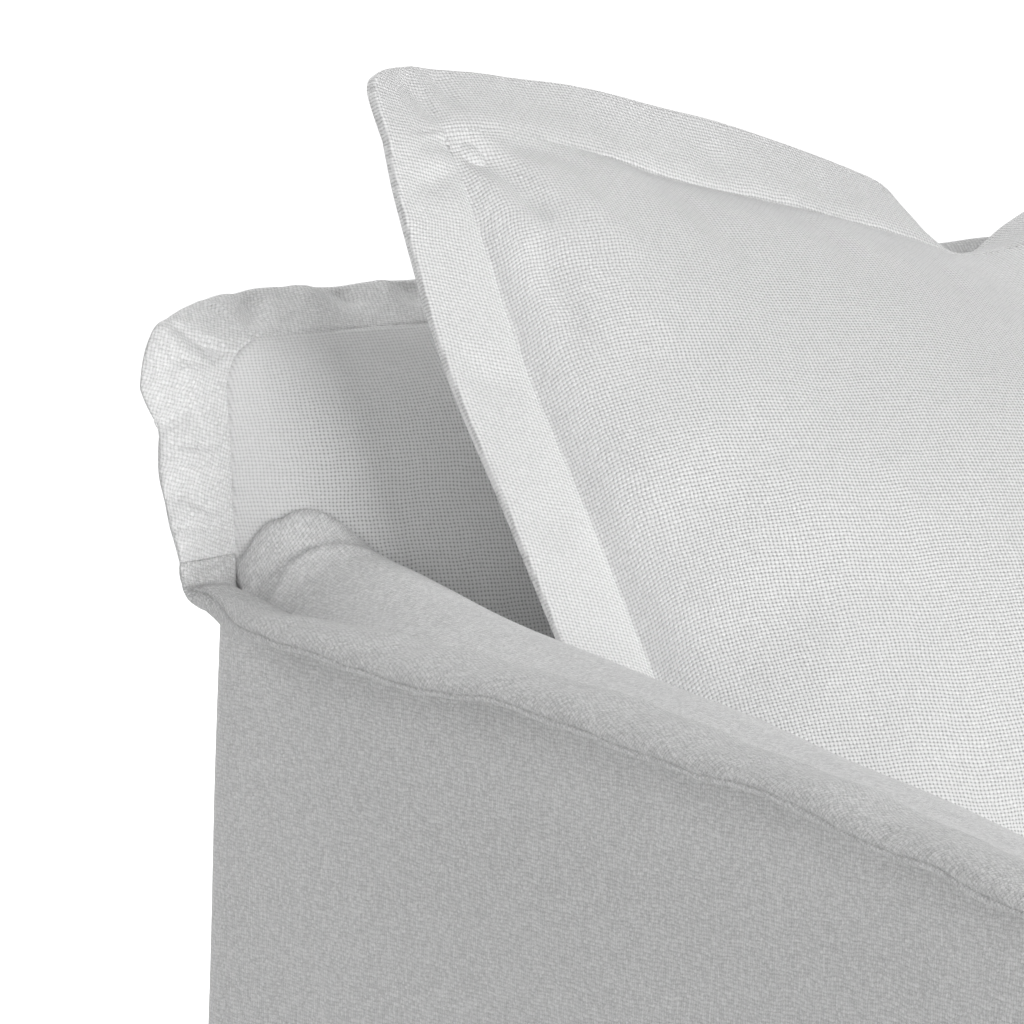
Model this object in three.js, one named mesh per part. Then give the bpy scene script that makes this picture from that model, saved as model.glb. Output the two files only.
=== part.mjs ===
// Fitted slipcover of a low, soft armchair, with its back and seat cushions.
//
// Millimetres, +Z up. The chair faces -Y; left and right are those of a viewer in front of it.
// The armchair is not here: the cover is a hollow shell of cloth panels round the space it fills,
// and the doubled flange stands out of the seams along the arms and round the back.

import * as THREE from 'three';

// Driving sizes
const SIDE = 410; // from the middle of the chair to a side seam
const REAR = 478; // rear corner seams
const FRONT = -420; // front seams of the arms
const BACK_TOP = 761; // seam along the top of the back
const ARM_WIDTH = 110;
const DECK = 298; // panel that the seat cushion lies on
const SEAT_HEIGHT = 440; // seat cushion at its sides

const CLOTH = 2; // thickness of one panel
const SEAM_GAP = 0.6; // room between the pieces that meet in a seam
const HEM_GAP = 3; // room between a panel's top edge and the flange above it
const CLEAR_OF_BACK = CLOTH + 1.4; // room that arms and cushion leave in front of the back
const FLANGE_ROOT = SIDE + 0.4;
const FLANGE_BEND = 15; // radius with which the flange turns from the back onto the arm
const TOP_CORNER = 12; // radius of the seam at the back's upper corners
const FRONT_BEND = 14; // radius with which it turns down the front of the arm
const FLANGE_JOIN = 658; // height at which the flange of the back meets that of the arm
const BACK_LEAN = 0.08; // how far the side seams of the back lean to the rear, for each mm up

const INNER = SIDE - ARM_WIDTH; // inside face of an arm
const PANEL_EDGE = SIDE - SEAM_GAP;

const PALE_CLOTH = new THREE.Color('#d9d7d2');

// Shape tables. Every row is one section or one height; values between rows are eased.

// Arm from front to rear: its outer seam, how far the padding stands above the seam, and how far
// in from the seam the padding is highest
const ARM_RUN = [
  { y: -420, seam: 586, crown: -2, reach: 20, drop: 86 },
  { y: -300, seam: 594, crown: -3, reach: 20, drop: 86 },
  { y: -190, seam: 603, crown: -3, reach: 20, drop: 88 },
  { y: -130, seam: 611, crown: -3, reach: 20, drop: 90 },
  { y: -54, seam: 619, crown: -2, reach: 20, drop: 90 },
  { y: 26, seam: 625, crown: -1, reach: 21, drop: 90 },
  { y: 108, seam: 632, crown: 1, reach: 23, drop: 92 },
  { y: 175, seam: 634, crown: 3, reach: 26, drop: 94 },
  { y: 257, seam: 636, crown: 7, reach: 30, drop: 98 },
  { y: 324, seam: 636, crown: 12, reach: 36, drop: 104 },
  { y: 374, seam: 633, crown: 21, reach: 40, drop: 110 },
  { y: 415, seam: 632, crown: 26, reach: 42, drop: 114 },
  { y: 443, seam: 635, crown: 27, reach: 42, drop: 114 },
  { y: 463, seam: 638, crown: 26, reach: 42, drop: 114 },
];

// Folds where the arm's panel is gathered against the back: distance from the back, and height
const ARM_FOLDS = [
  { gap: 0, rise: 22 },
  { gap: 7, rise: 22 },
  { gap: 13, rise: 18 },
  { gap: 19, rise: 8 },
  { gap: 25, rise: -3 },
  { gap: 30, rise: 0 },
  { gap: 37, rise: 5 },
  { gap: 48, rise: 3 },
  { gap: 64, rise: 1 },
  { gap: 90, rise: 0 },
];

// How much of a fold shows across the arm, by distance in from its outer seam
const FOLD_SPREAD = [
  { inset: 0, share: 0 },
  { inset: 12, share: 1 },
  { inset: 28, share: 1 },
  { inset: 42, share: 0.68 },
  { inset: 58, share: 0.32 },
  { inset: 80, share: 0.06 },
  { inset: 110, share: 0 },
];

// Front of the back, by height: how far it comes forward of the side seams
const BACK_FACE = [
  { z: 290, depth: 161 },
  { z: 450, depth: 123 },
  { z: 600, depth: 71 },
  { z: 680, depth: 41 },
  { z: 735, depth: 22 },
  { z: 752, depth: 13 },
  { z: 757, depth: 7 },
  { z: 760, depth: 0 },
];

// Inside back panel from its foot to its top seam: height at the middle, and where its sides end.
// Low down they end between the arms, then they climb over the arms to the side seams.
const BACK_ROWS = [
  { middle: 300, edge: 302, rim: 300 },
  { middle: 390, edge: 302, rim: 390 },
  { middle: 480, edge: 302, rim: 480 },
  { middle: 560, edge: 303, rim: 560 },
  { middle: 600, edge: 309, rim: 596 },
  { middle: 622, edge: 321, rim: 618 },
  { middle: 638, edge: 340, rim: 636 },
  { middle: 649, edge: 361, rim: 646 },
  { middle: 658, edge: 379, rim: 649 },
  { middle: 666, edge: 393, rim: 647 },
  { middle: 674, edge: 402, rim: 641 },
  { middle: 684, edge: 407.2, rim: 640 },
  { middle: 696, edge: 408.4, rim: 652 },
  { middle: 716, edge: 409.2, rim: 690 },
  { middle: 735, edge: 409.2, rim: 722 },
  { middle: 749, edge: 409.2, rim: 744 },
  { middle: 756, edge: 407.5, rim: 754 },
  { middle: 760.2, edge: 402, rim: 759.4 },
];

// Flange beside the back, by height: its width, and how far it turns to the front, in degrees
const FLANGE_SIDE = [
  { z: 655, width: 43, turn: 22 },
  { z: 668, width: 43, turn: 18 },
  { z: 690, width: 43, turn: 9 },
  { z: 715, width: 41, turn: 3 },
  { z: 730, width: 44, turn: 0 },
  { z: 745, width: 47, turn: 0 },
  { z: 760, width: 47, turn: 0 },
];

// Flange round an upper corner of the back, by the angle at which it points out, from 0 at the
// side to 90 at the top: the corner is cut round, so the flange is narrower there
const FLANGE_CORNER = [
  { angle: 0, width: 46, lean: 0 },
  { angle: 12, width: 43, lean: 6 },
  { angle: 25, width: 36, lean: 17 },
  { angle: 45, width: 28.5, lean: 37 },
  { angle: 65, width: 28.5, lean: 53 },
  { angle: 90, width: 37, lean: 64 },
];

// Flange along the top of the back, by distance from the middle: width, and lean to the rear
const FLANGE_TOP = [
  { x: 0, width: 43, lean: 68 },
  { x: 330, width: 42, lean: 66 },
  { x: 375, width: 42, lean: 65 },
  { x: 398, width: 37, lean: 64 },
];

// Flange along the arm, from front to rear: how far its edge stands above its root
const FLANGE_ARM = [
  { y: -420, lift: 0 },
  { y: -240, lift: 3 },
  { y: -185, lift: 7 },
  { y: -150, lift: 4 },
  { y: -110, lift: 3 },
  { y: -70, lift: 6 },
  { y: 10, lift: 2 },
  { y: 90, lift: 0 },
  { y: 170, lift: 1 },
  { y: 255, lift: -5 },
  { y: 300, lift: -4 },
  { y: 380, lift: 4 },
  { y: 430, lift: 10 },
  { y: 463, lift: 15 },
  { y: 478, lift: 17 },
];
const ARM_FLANGE_WIDTH = 45;

// Slow waves in the free edge of a flange
const FLANGE_WAVES = [
  { length: 71, height: 1.1, start: 0.4 },
  { length: 113, height: 0.9, start: 2.1 },
];

// Unevenness of the hanging panels
const PANEL_WAVES = [
  { across: 310, up: 420, height: 1.6, start: 0.3 },
  { across: 170, up: 260, height: 0.9, start: 1.9 },
];

// Back cushion, from its lower to its upper seam, along the seams at its sides
const CUSHION_SIDE = [
  { rise: 0, z: 457, y: 180, half: 290 },
  { rise: 0.26, z: 560, y: 248, half: 291 },
  { rise: 0.4, z: 616, y: 285, half: 297 },
  { rise: 0.57, z: 685, y: 323, half: 308 },
  { rise: 0.74, z: 756, y: 368, half: 317 },
  { rise: 0.87, z: 811, y: 400, half: 320 },
  { rise: 1, z: 859.5, y: 430, half: 322 },
];

// Its upper seam from one corner to the other: the dent of the hand a little off the middle, and
// the ears beside it. The flange leans to the rear, and falls over in the dent.
const CUSHION_TOP = [
  { x: -322, z: 859.5, y: 430, width: 35, lean: 36 },
  { x: -308, z: 860, y: 430, width: 43, lean: 58 },
  { x: -290, z: 859, y: 430, width: 44, lean: 60 },
  { x: -262, z: 851.5, y: 430, width: 44, lean: 53 },
  { x: -234, z: 843.5, y: 430, width: 44, lean: 45 },
  { x: -200, z: 831.5, y: 431, width: 44, lean: 38 },
  { x: -160, z: 821, y: 434, width: 44, lean: 38 },
  { x: -113, z: 809.5, y: 438, width: 44, lean: 44 },
  { x: -62, z: 795.5, y: 443, width: 44, lean: 51 },
  { x: -37, z: 787, y: 444.5, width: 44, lean: 56 },
  { x: -26, z: 782.5, y: 445, width: 42, lean: 64 },
  { x: -16, z: 778, y: 446, width: 34, lean: 100 },
  { x: -8, z: 776.5, y: 446, width: 32, lean: 106 },
  { x: 16, z: 778.5, y: 446, width: 32, lean: 104 },
  { x: 32, z: 785.5, y: 445, width: 36, lean: 97 },
  { x: 56, z: 794.5, y: 443, width: 42, lean: 80 },
  { x: 112, z: 810.5, y: 438, width: 44, lean: 51 },
  { x: 190, z: 833.5, y: 431, width: 44, lean: 41 },
  { x: 260, z: 853.5, y: 430, width: 44, lean: 49 },
  { x: 300, z: 861.5, y: 430, width: 43, lean: 60 },
  { x: 322, z: 859.5, y: 430, width: 35, lean: 36 },
];

// How the flange at the sides of the cushion points, by height: outwards beside the ears,
// upwards over the arm and forwards between the arms
const CUSHION_FLANGE = [
  { z: 457, out: 0.02, ahead: 1, up: 0.05 },
  { z: 568, out: 0.06, ahead: 1, up: 0.2 },
  { z: 588, out: 0.4, ahead: 0.65, up: 0.62 },
  { z: 602, out: 0.66, ahead: 0.3, up: 0.7 },
  { z: 616, out: 0.88, ahead: 0.05, up: 0.5 },
  { z: 628, out: 0.97, ahead: 0, up: 0.27 },
  { z: 642, out: 1, ahead: 0, up: 0.05 },
  { z: 862, out: 1, ahead: 0, up: 0 },
];
const CUSHION_FLANGE_WIDTH = 43;
const CUSHION_FRONT = 88; // how far the filling stands out of the seams, in front
const CUSHION_REAR = 84; // and behind
const CUSHION_REST = 453.5; // height of the flat part that lies on the seat

// Small helpers

const clamp = (value, low, high) => Math.min(Math.max(value, low), high);
const mix = (a, b, share) => a + (b - a) * share;
const radians = (degrees) => (degrees * Math.PI) / 180;

// Slope of a column at one row, kept level where the column turns round
function slope(table, key, column, index) {
  const step = (i) => (table[i + 1][column] - table[i][column]) / (table[i + 1][key] - table[i][key]);
  if (index === 0) return step(0);
  if (index === table.length - 1) return step(index - 1);
  const before = step(index - 1);
  const after = step(index);
  return before * after > 0 ? (2 * before * after) / (before + after) : 0;
}

// A column of a table at any place between its rows
function read(table, key, column, at) {
  const place = clamp(at, table[0][key], table[table.length - 1][key]);
  let i = 0;
  while (i < table.length - 2 && place > table[i + 1][key]) i += 1;
  const span = table[i + 1][key] - table[i][key];
  const t = (place - table[i][key]) / span;
  const rise = slope(table, key, column, i) * span;
  const fall = slope(table, key, column, i + 1) * span;
  const flat = t * t * (3 - 2 * t);
  const bend = t * (1 - t) * ((1 - t) * rise - t * fall);
  return mix(table[i][column], table[i + 1][column], flat) + bend;
}

// Evenly spaced values from low to high, both included
function spread(low, high, steps) {
  return Array.from({ length: steps + 1 }, (_, i) => mix(low, high, i / steps));
}

// The same cuts on both sides of the middle, from the halves between 0 and 1
function mirrored(half) {
  return [...half.map((value) => -value).reverse(), ...half.filter((value) => value > 0)];
}

function sideFactor(side) {
  return side === 'left' ? -1 : 1;
}

function panelWave(across, up, turn) {
  return PANEL_WAVES.reduce((sum, wave) => {
    const run = (2 * Math.PI * across) / wave.across + wave.start + turn;
    return sum + wave.height * Math.sin(run) * Math.cos((2 * Math.PI * up) / wave.up + turn);
  }, 0);
}

function flangeWave(run, turn) {
  return FLANGE_WAVES.reduce((sum, wave) => {
    return sum + wave.height * Math.sin((2 * Math.PI * run) / wave.length + wave.start + turn);
  }, 0);
}

// Closed solid of cloth or filling: a grid of middle points, thickened to both of its sides.
// point(u, v) gives the middle, and front(u, v) and rear(u, v) the thickness to each side.
// trim moves a finished point, for a side that lies flat against something.
function clothSolid(name, across, along, point, front, rear = front, trim = (corner) => corner) {
  const columns = across.length;
  const rows = along.length;
  const middle = along.map((v) => across.map((u) => point(u, v)));
  const corners = [];
  const normalAt = (i, j) => {
    const left = middle[j][Math.max(i - 1, 0)];
    const right = middle[j][Math.min(i + 1, columns - 1)];
    const below = middle[Math.max(j - 1, 0)][i];
    const above = middle[Math.min(j + 1, rows - 1)][i];
    return right.clone().sub(left).cross(above.clone().sub(below)).normalize();
  };
  for (const skin of [front, (u, v) => -rear(u, v)]) {
    for (let j = 0; j < rows; j += 1) {
      for (let i = 0; i < columns; i += 1) {
        const offset = normalAt(i, j).multiplyScalar(skin(across[i], along[j]));
        corners.push(trim(middle[j][i].clone().add(offset), skin === front));
      }
    }
  }

  const faces = [];
  const near = (i, j) => j * columns + i;
  const far = (i, j) => rows * columns + near(i, j);
  const quad = (a, b, c, d) => faces.push(a, b, c, a, c, d);
  for (let j = 0; j < rows - 1; j += 1) {
    for (let i = 0; i < columns - 1; i += 1) {
      quad(near(i, j), near(i + 1, j), near(i + 1, j + 1), near(i, j + 1));
      quad(far(i, j), far(i, j + 1), far(i + 1, j + 1), far(i + 1, j));
    }
    const last = columns - 1;
    quad(near(0, j), near(0, j + 1), far(0, j + 1), far(0, j));
    quad(near(last, j), far(last, j), far(last, j + 1), near(last, j + 1));
  }
  for (let i = 0; i < columns - 1; i += 1) {
    const top = rows - 1;
    quad(near(i, 0), far(i, 0), far(i + 1, 0), near(i + 1, 0));
    quad(near(i, top), near(i + 1, top), far(i + 1, top), far(i, top));
  }

  const geometry = new THREE.BufferGeometry();
  const places = corners.flatMap((corner) => corner.toArray());
  geometry.setAttribute('position', new THREE.Float32BufferAttribute(places, 3));
  geometry.setIndex(faces);
  geometry.computeVertexNormals();
  const material = new THREE.MeshStandardMaterial({ color: PALE_CLOTH, roughness: 0.95, metalness: 0 });
  const mesh = new THREE.Mesh(geometry, material);
  mesh.name = name;
  return mesh;
}

const oneLayer = () => CLOTH / 2;

// Shape of the cover

// How far a round bend of this radius has left the straight line, this far into it
function bendOff(into, radius) {
  return radius - Math.sqrt(radius ** 2 - clamp(into, 0, radius * 0.97) ** 2);
}

// Height of the arm's outer seam: it bends down at the front, and up to the back's side seam
function armSeam(y) {
  const down = bendOff(FRONT + FRONT_BEND - y, FRONT_BEND);
  const up = bendOff(y - (REAR - FLANGE_BEND), FLANGE_BEND);
  return read(ARM_RUN, 'y', 'seam', y) - down + up;
}

// Seam at the side and top of the back: upright beside the arms, then leaning to the rear
function rearSeam(z) {
  return REAR + Math.max(z - FLANGE_JOIN, 0) * BACK_LEAN;
}

// Front face of the back at any place, rounded into the side seams
function backFace(x, z) {
  const SIDE_ROUNDING = 14;
  const full = 1 - Math.abs(x / SIDE) ** SIDE_ROUNDING;
  const rim = rearSeam(z) - CLOTH - 2 * SEAM_GAP;
  return rim - read(BACK_FACE, 'z', 'depth', z) * Math.max(full, 0);
}

// Shares of the arm's section: rise to its crown, shoulder, and straight inside face
const ARM_RISE = 0.18;
const ARM_SHOULDER = 0.64;
const SHOULDER_ROUND = 1.18; // exponents of the shoulder's curve, flatter on top than at the side
const SHOULDER_FALL = 1.33;

// Point of the arm's section: inset from the outer seam, and height above it
function armSection(share, y) {
  const at = Math.min(y, REAR - FLANGE_BEND);
  const crown = read(ARM_RUN, 'y', 'crown', at);
  const reach = read(ARM_RUN, 'y', 'reach', at);
  const drop = read(ARM_RUN, 'y', 'drop', at);
  if (share <= ARM_RISE) {
    const k = share / ARM_RISE;
    return { inset: mix(2 * SEAM_GAP, reach, k), height: crown * Math.sin((k * Math.PI) / 2) };
  }
  const k = Math.min((share - ARM_RISE) / (ARM_SHOULDER - ARM_RISE), 1);
  const angle = (k * Math.PI) / 2;
  const inset = mix(reach, ARM_WIDTH, Math.sin(angle) ** SHOULDER_ROUND);
  const height = crown - drop * (1 - Math.cos(angle) ** SHOULDER_FALL);
  return { inset, height };
}

function insideArm(side) {
  const CLEAR_AT_SIDE = CLOTH + 3.4; // where the back rounds away to its side seam
  const SIDE_WIDTH = 40;
  const CLIMB = 18; // at its outer seam the panel's end climbs this high beside the back
  const CLIMB_WIDTH = 14;
  const CLIMB_LENGTH = 9;
  const STEADY = 0.4; // share of the panels' unevenness that the arm's upright face has
  const NEAR_BACK = 160; // length beside the back where the cuts lie close
  const s = sideFactor(side);
  const foot = DECK + CLOTH;
  const place = (share, y) => {
    const { inset, height } = armSection(share, y);
    const top = armSeam(y) + height;
    const down = clamp((share - ARM_SHOULDER) / (1 - ARM_SHOULDER), 0, 1);
    return { x: s * (SIDE - inset), z: mix(top, foot, down), inset };
  };
  const point = (share, run) => {
    const guess = place(share, mix(FRONT + FRONT_BEND, REAR - 2 * FLANGE_BEND, run));
    const folded = read(FOLD_SPREAD, 'inset', 'share', guess.inset);
    const climb = CLIMB * Math.max(1 - guess.inset / CLIMB_WIDTH, 0);
    const clear = mix(CLEAR_AT_SIDE, CLEAR_OF_BACK, clamp(guess.inset / SIDE_WIDTH, 0, 1));
    const end = backFace(guess.x, guess.z + folded * ARM_FOLDS[0].rise + climb) - clear;
    const y = mix(FRONT + 1, end, run);
    const { x, z } = place(share, y);
    const gap = end - y;
    const fold = folded * read(ARM_FOLDS, 'gap', 'rise', gap);
    const high = z + fold + climb * Math.max(1 - gap / CLIMB_LENGTH, 0) ** 1.5;
    const waver = share < ARM_SHOULDER ? 0 : panelWave(y, z, s) * STEADY;
    return new THREE.Vector3(x + s * waver, Math.min(y, backFace(x, high) - clear), high);
  };
  const rises = [0, 0.025, 0.06, 0.11, ARM_RISE];
  const shoulder = spread(ARM_RISE, ARM_SHOULDER, 7).slice(1);
  const inner = spread(ARM_SHOULDER, 1, 3).slice(1);
  const length = REAR - FRONT;
  const nearBack = [130, 100, 78, 62, 50, 42, 36, 30, 25, 20, 14, 9, 6, 3, 0];
  const nearFront = [0, 2, 5, 9, 14].map((gap) => gap / length);
  const along = spread(0, 1 - NEAR_BACK / length, 10).slice(1);
  const run = [...nearFront, ...along, ...nearBack.map((gap) => 1 - gap / length)];
  return clothSolid(`inside_arm_${side}`, [...rises, ...shoulder, ...inner], run, point, oneLayer);
}

// How far the sides hang out of plumb, by distance below the seam
const FULLNESS = 7;
const FULLNESS_REACH = 160;

function sideFullness(below) {
  return FULLNESS * (1 - Math.exp(-Math.max(below, 0) / FULLNESS_REACH));
}

// Outer side of an arm, from the hem to the flange, a little fuller below than at the seam
function outsideArm(side) {
  const SLACK_REACH = 120; // distance below its top edge over which the panel comes to hang free
  const s = sideFactor(side);
  const point = (run, rise) => {
    const y = mix(FRONT + HEM_GAP, REAR + SEAM_GAP, run);
    const top = armSeam(Math.min(y, REAR - 1)) - HEM_GAP - SEAM_GAP;
    const z = top * rise;
    const slack = (1 - Math.exp((z - top) / SLACK_REACH)) * Math.sqrt(Math.sin(Math.PI * run));
    const x = SIDE + sideFullness(top - z) + slack * panelWave(y, z, 2 * s);
    return new THREE.Vector3(s * x, y, z);
  };
  const run = [0, 0.003, 0.008, 0.014, ...spread(0.03, 0.97, 20), 0.983, 0.99, 0.995, 1];
  const rise = [...spread(0, 0.84, 4), 0.93, 1];
  return clothSolid(`outside_arm_${side}`, run, rise, point, oneLayer);
}

// Outer back, rounded over the rear corners and under the top seam
function outsideBack() {
  const BULGE = 29;
  const SAG = 14; // how much fuller it is below the arms than above them
  const SAG_TOP = 0.85; // shares of the height where that fullness starts and is whole
  const SAG_WHOLE = 0.55;
  const CORNER = 40; // exponents: the higher, the tighter the rounding
  const SHOULDER = 20;
  const CUT_FROM = 0.98; // share of the height above which the upper corners are cut round
  const top = BACK_TOP - HEM_GAP;
  const point = (u, v) => {
    const z = top * v;
    const cornerCut = TOP_CORNER * clamp((v - CUT_FROM) / (1 - CUT_FROM), 0, 1);
    const half = PANEL_EDGE - CLOTH / 2 + sideFullness(armSeam(REAR) - z) - cornerCut;
    const x = half * u;
    const round = Math.sqrt((1 - Math.abs(u) ** CORNER) * (1 - v ** SHOULDER));
    const sag = SAG * clamp((SAG_TOP - v) / (SAG_TOP - SAG_WHOLE), 0, 1);
    const y = rearSeam(z) + CLOTH + 2 * SEAM_GAP + round * (BULGE + sag + panelWave(x, z, 3));
    return new THREE.Vector3(x, y, z);
  };
  const across = mirrored([0, 0.25, 0.5, 0.75, 0.9, 0.95, 0.97, 0.982, 0.99, 0.995, 0.999, 1]);
  const up = [0, 0.2, 0.4, 0.56, 0.7, 0.82, 0.9, 0.945, 0.97, 0.985, 0.995, 1];
  return clothSolid('outside_back', across, up, point, oneLayer);
}

// Inner back: narrow between the arms, then out over them to the side seams
function insideBack() {
  const place = (u, row) => {
    const edge = BACK_ROWS[row];
    const x = u * edge.edge;
    const z = mix(edge.middle, edge.rim, Math.abs(u) ** 6);
    return new THREE.Vector3(x, backFace(x, z), z);
  };
  const across = mirrored([0, 0.25, 0.5, 0.66, 0.77, 0.84, 0.89, 0.925, 0.95, 0.97, 0.985, 0.995, 1]);
  const rows = BACK_ROWS.map((_, index) => index);
  return clothSolid('inside_back', across, rows, place, oneLayer);
}

// Front end of an arm, closed with one flat panel
function armFront(side) {
  const BOW = 7; // how far its middle stands forward
  const BOW_FOOT = 0.1; // share of the height below which that stays even
  const s = sideFactor(side);
  const cuts = [0.004, 0.03, 0.08, 0.14, 0.22, 0.3, 0.38, 0.46, 0.52, 0.57, 0.61, 0.64];
  const point = (share, rise) => {
    const { inset, height } = armSection(share, FRONT);
    const top = armSeam(FRONT) + height + CLOTH / 2;
    const wide = Math.sin((Math.PI * inset) / ARM_WIDTH);
    const bow = BOW * wide * Math.sqrt(Math.sin(Math.PI * clamp(rise, BOW_FOOT, 1)));
    const x = s * clamp(SIDE - inset, INNER + SEAM_GAP, PANEL_EDGE);
    return new THREE.Vector3(x, FRONT - CLOTH - bow, top * rise);
  };
  return clothSolid(`arm_front_${side}`, cuts, spread(0, 1, 10), point, oneLayer);
}

// Panel below the seat, flush with the fronts of the arms
function frontApron() {
  const SLACK = 3; // how far its hem hangs forward in the middle
  const half = INNER - SEAM_GAP;
  const point = (u, v) => {
    const z = (DECK - HEM_GAP) * v;
    const slack = (1 - u * u) * (1 - v);
    return new THREE.Vector3(half * u, FRONT - slack * (SLACK + panelWave(half * u, z, 5)), z);
  };
  return clothSolid('front_apron', spread(-1, 1, 12), spread(0, 1, 4), point, oneLayer);
}

function seatDeck() {
  const SAG = 3;
  const half = INNER - CLOTH - SEAM_GAP;
  const point = (u, v) => {
    const x = half * u;
    const y = mix(FRONT + CLOTH, backFace(x, DECK) - CLOTH - SEAM_GAP, v);
    return new THREE.Vector3(x, y, DECK - SAG * (1 - u * u) * Math.sin(Math.PI * v));
  };
  return clothSolid('seat_deck', spread(-1, 1, 6), spread(0, 1, 6), point, oneLayer);
}

// Flanges

const FLANGE_CUTS = [0, 0.5, 0.9, 1];
const FLANGE_HALF = [2, 2.8, 3.4, 2]; // half its thickness at each of those cuts

function flangeHalf(u) {
  return FLANGE_HALF[FLANGE_CUTS.indexOf(u)];
}

// A strip along stations, each with its root, the way it points, the way its face looks,
// its width and the distance run so far
function flangeStrip(name, stations, turn) {
  const point = (u, index) => {
    const { root, out, face, width, run } = stations[index];
    const wave = flangeWave(run, turn) * u * u;
    return root.clone().addScaledVector(out, width * u).addScaledVector(face, wave);
  };
  const rows = stations.map((_, index) => index);
  return clothSolid(name, FLANGE_CUTS, rows, point, flangeHalf);
}

// Station on one side of the chair, where the flange points outwards and turns by an angle
// towards its face. The face looks to the front beside the back, and up along the arm.
function sideStation(s, y, z, face, turn, width, run) {
  const out = new THREE.Vector3(-Math.cos(turn), 0, 0).addScaledVector(face, Math.sin(turn));
  const station = { root: new THREE.Vector3(-FLANGE_ROOT, y, z), out, face: face.clone(), width, run };
  for (const vector of [station.root, station.out, station.face]) vector.x *= -s;
  return station;
}

function flangeArm(side) {
  const DOWN_STEP = 40;
  const UNLIKE = 46; // how far ahead the right flange's unevenness lies of the left one's
  const LIKE_FROM = 350; // behind this both are held alike by the back
  const s = sideFactor(side);
  const shift = side === 'left' ? 0 : UNLIKE;
  const ahead = new THREE.Vector3(0, -1, 0);
  const upward = new THREE.Vector3(0, 0, 1);
  const between = (angle) => new THREE.Vector3(0, -Math.cos(angle), Math.sin(angle));
  const stations = [];
  const add = (y, z, face, lift) => {
    const turn = Math.asin(lift / ARM_FLANGE_WIDTH);
    const run = stations.length ? stations[stations.length - 1].run : 0;
    const last = stations.length ? stations[stations.length - 1].root : null;
    const step = last ? Math.hypot(last.y - y, last.z - z) : 0;
    stations.push(sideStation(s, y, z, face, turn, ARM_FLANGE_WIDTH, run + step));
  };
  const liftAt = (y) => read(FLANGE_ARM, 'y', 'lift', y < LIKE_FROM ? y + shift : y);

  const bendY = REAR - FLANGE_BEND;
  const bendZ = armSeam(bendY) + FLANGE_BEND;
  add(REAR, FLANGE_JOIN - SEAM_GAP, ahead, liftAt(REAR));
  for (const angle of spread(0, Math.PI / 2, 5)) {
    const y = bendY + FLANGE_BEND * Math.cos(angle);
    const z = bendZ - FLANGE_BEND * Math.sin(angle);
    add(y, z, between(angle), liftAt(y));
  }
  const frontY = FRONT + FRONT_BEND;
  for (const y of spread(bendY, frontY, 52).slice(1)) add(y, armSeam(y), upward, liftAt(y));
  const frontZ = armSeam(frontY) - FRONT_BEND;
  for (const angle of spread(0, Math.PI / 2, 5).slice(1)) {
    const y = frontY - FRONT_BEND * Math.sin(angle);
    const z = frontZ + FRONT_BEND * Math.cos(angle);
    add(y, z, between(Math.PI / 2 - angle), liftAt(FRONT));
  }
  const steps = Math.ceil(frontZ / DOWN_STEP);
  for (const z of spread(frontZ, HEM_GAP, steps).slice(1)) add(FRONT, z, ahead, liftAt(FRONT));
  return flangeStrip(`flange_arm_${side}`, stations, s);
}

function flangeBack() {
  const ahead = new THREE.Vector3(0, -1, 0);
  const half = FLANGE_ROOT - TOP_CORNER;
  const low = BACK_TOP - TOP_CORNER;
  const stations = [];
  const add = (station) => {
    const last = stations[stations.length - 1];
    station.run = last ? last.run + last.root.distanceTo(station.root) : 0;
    stations.push(station);
  };
  const beside = (s, z) => {
    const turn = radians(read(FLANGE_SIDE, 'z', 'turn', z));
    add(sideStation(s, rearSeam(z), z, ahead, turn, read(FLANGE_SIDE, 'z', 'width', z), 0));
  };
  // angle runs from 0, straight out to the side, to 90 degrees, over the top seam
  const over = (s, x, z, angle, { width, lean }) => {
    const [turn, tilt] = [radians(angle), radians(lean)];
    const rise = Math.sin(turn);
    const out = new THREE.Vector3(s * Math.cos(turn), rise * Math.sin(tilt), rise * Math.cos(tilt));
    const face = new THREE.Vector3(0, -Math.cos(tilt), Math.sin(tilt));
    add({ root: new THREE.Vector3(x, rearSeam(z), z), out: out.normalize(), face, width });
  };
  const sized = (table, key, at) => {
    return { width: read(table, key, 'width', at), lean: read(table, key, 'lean', at) };
  };
  const corner = (s, angles) => {
    for (const angle of angles) {
      const x = s * (half + TOP_CORNER * Math.cos(radians(angle)));
      const z = low + TOP_CORNER * Math.sin(radians(angle));
      over(s, x, z, angle, sized(FLANGE_CORNER, 'angle', angle));
    }
  };
  const heights = spread(FLANGE_JOIN + SEAM_GAP, low, 9);
  const angles = spread(0, 90, 9);
  for (const z of heights) beside(-1, z);
  corner(-1, angles.slice(1));
  for (const x of spread(-half, half, 54).slice(1, -1)) {
    over(Math.sign(x), x, BACK_TOP, 90, sized(FLANGE_TOP, 'x', Math.abs(x)));
  }
  corner(1, angles.slice(1).reverse());
  for (const z of [...heights].reverse()) beside(1, z);
  return flangeStrip('flange_back', stations, 0);
}

// Cushions

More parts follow.
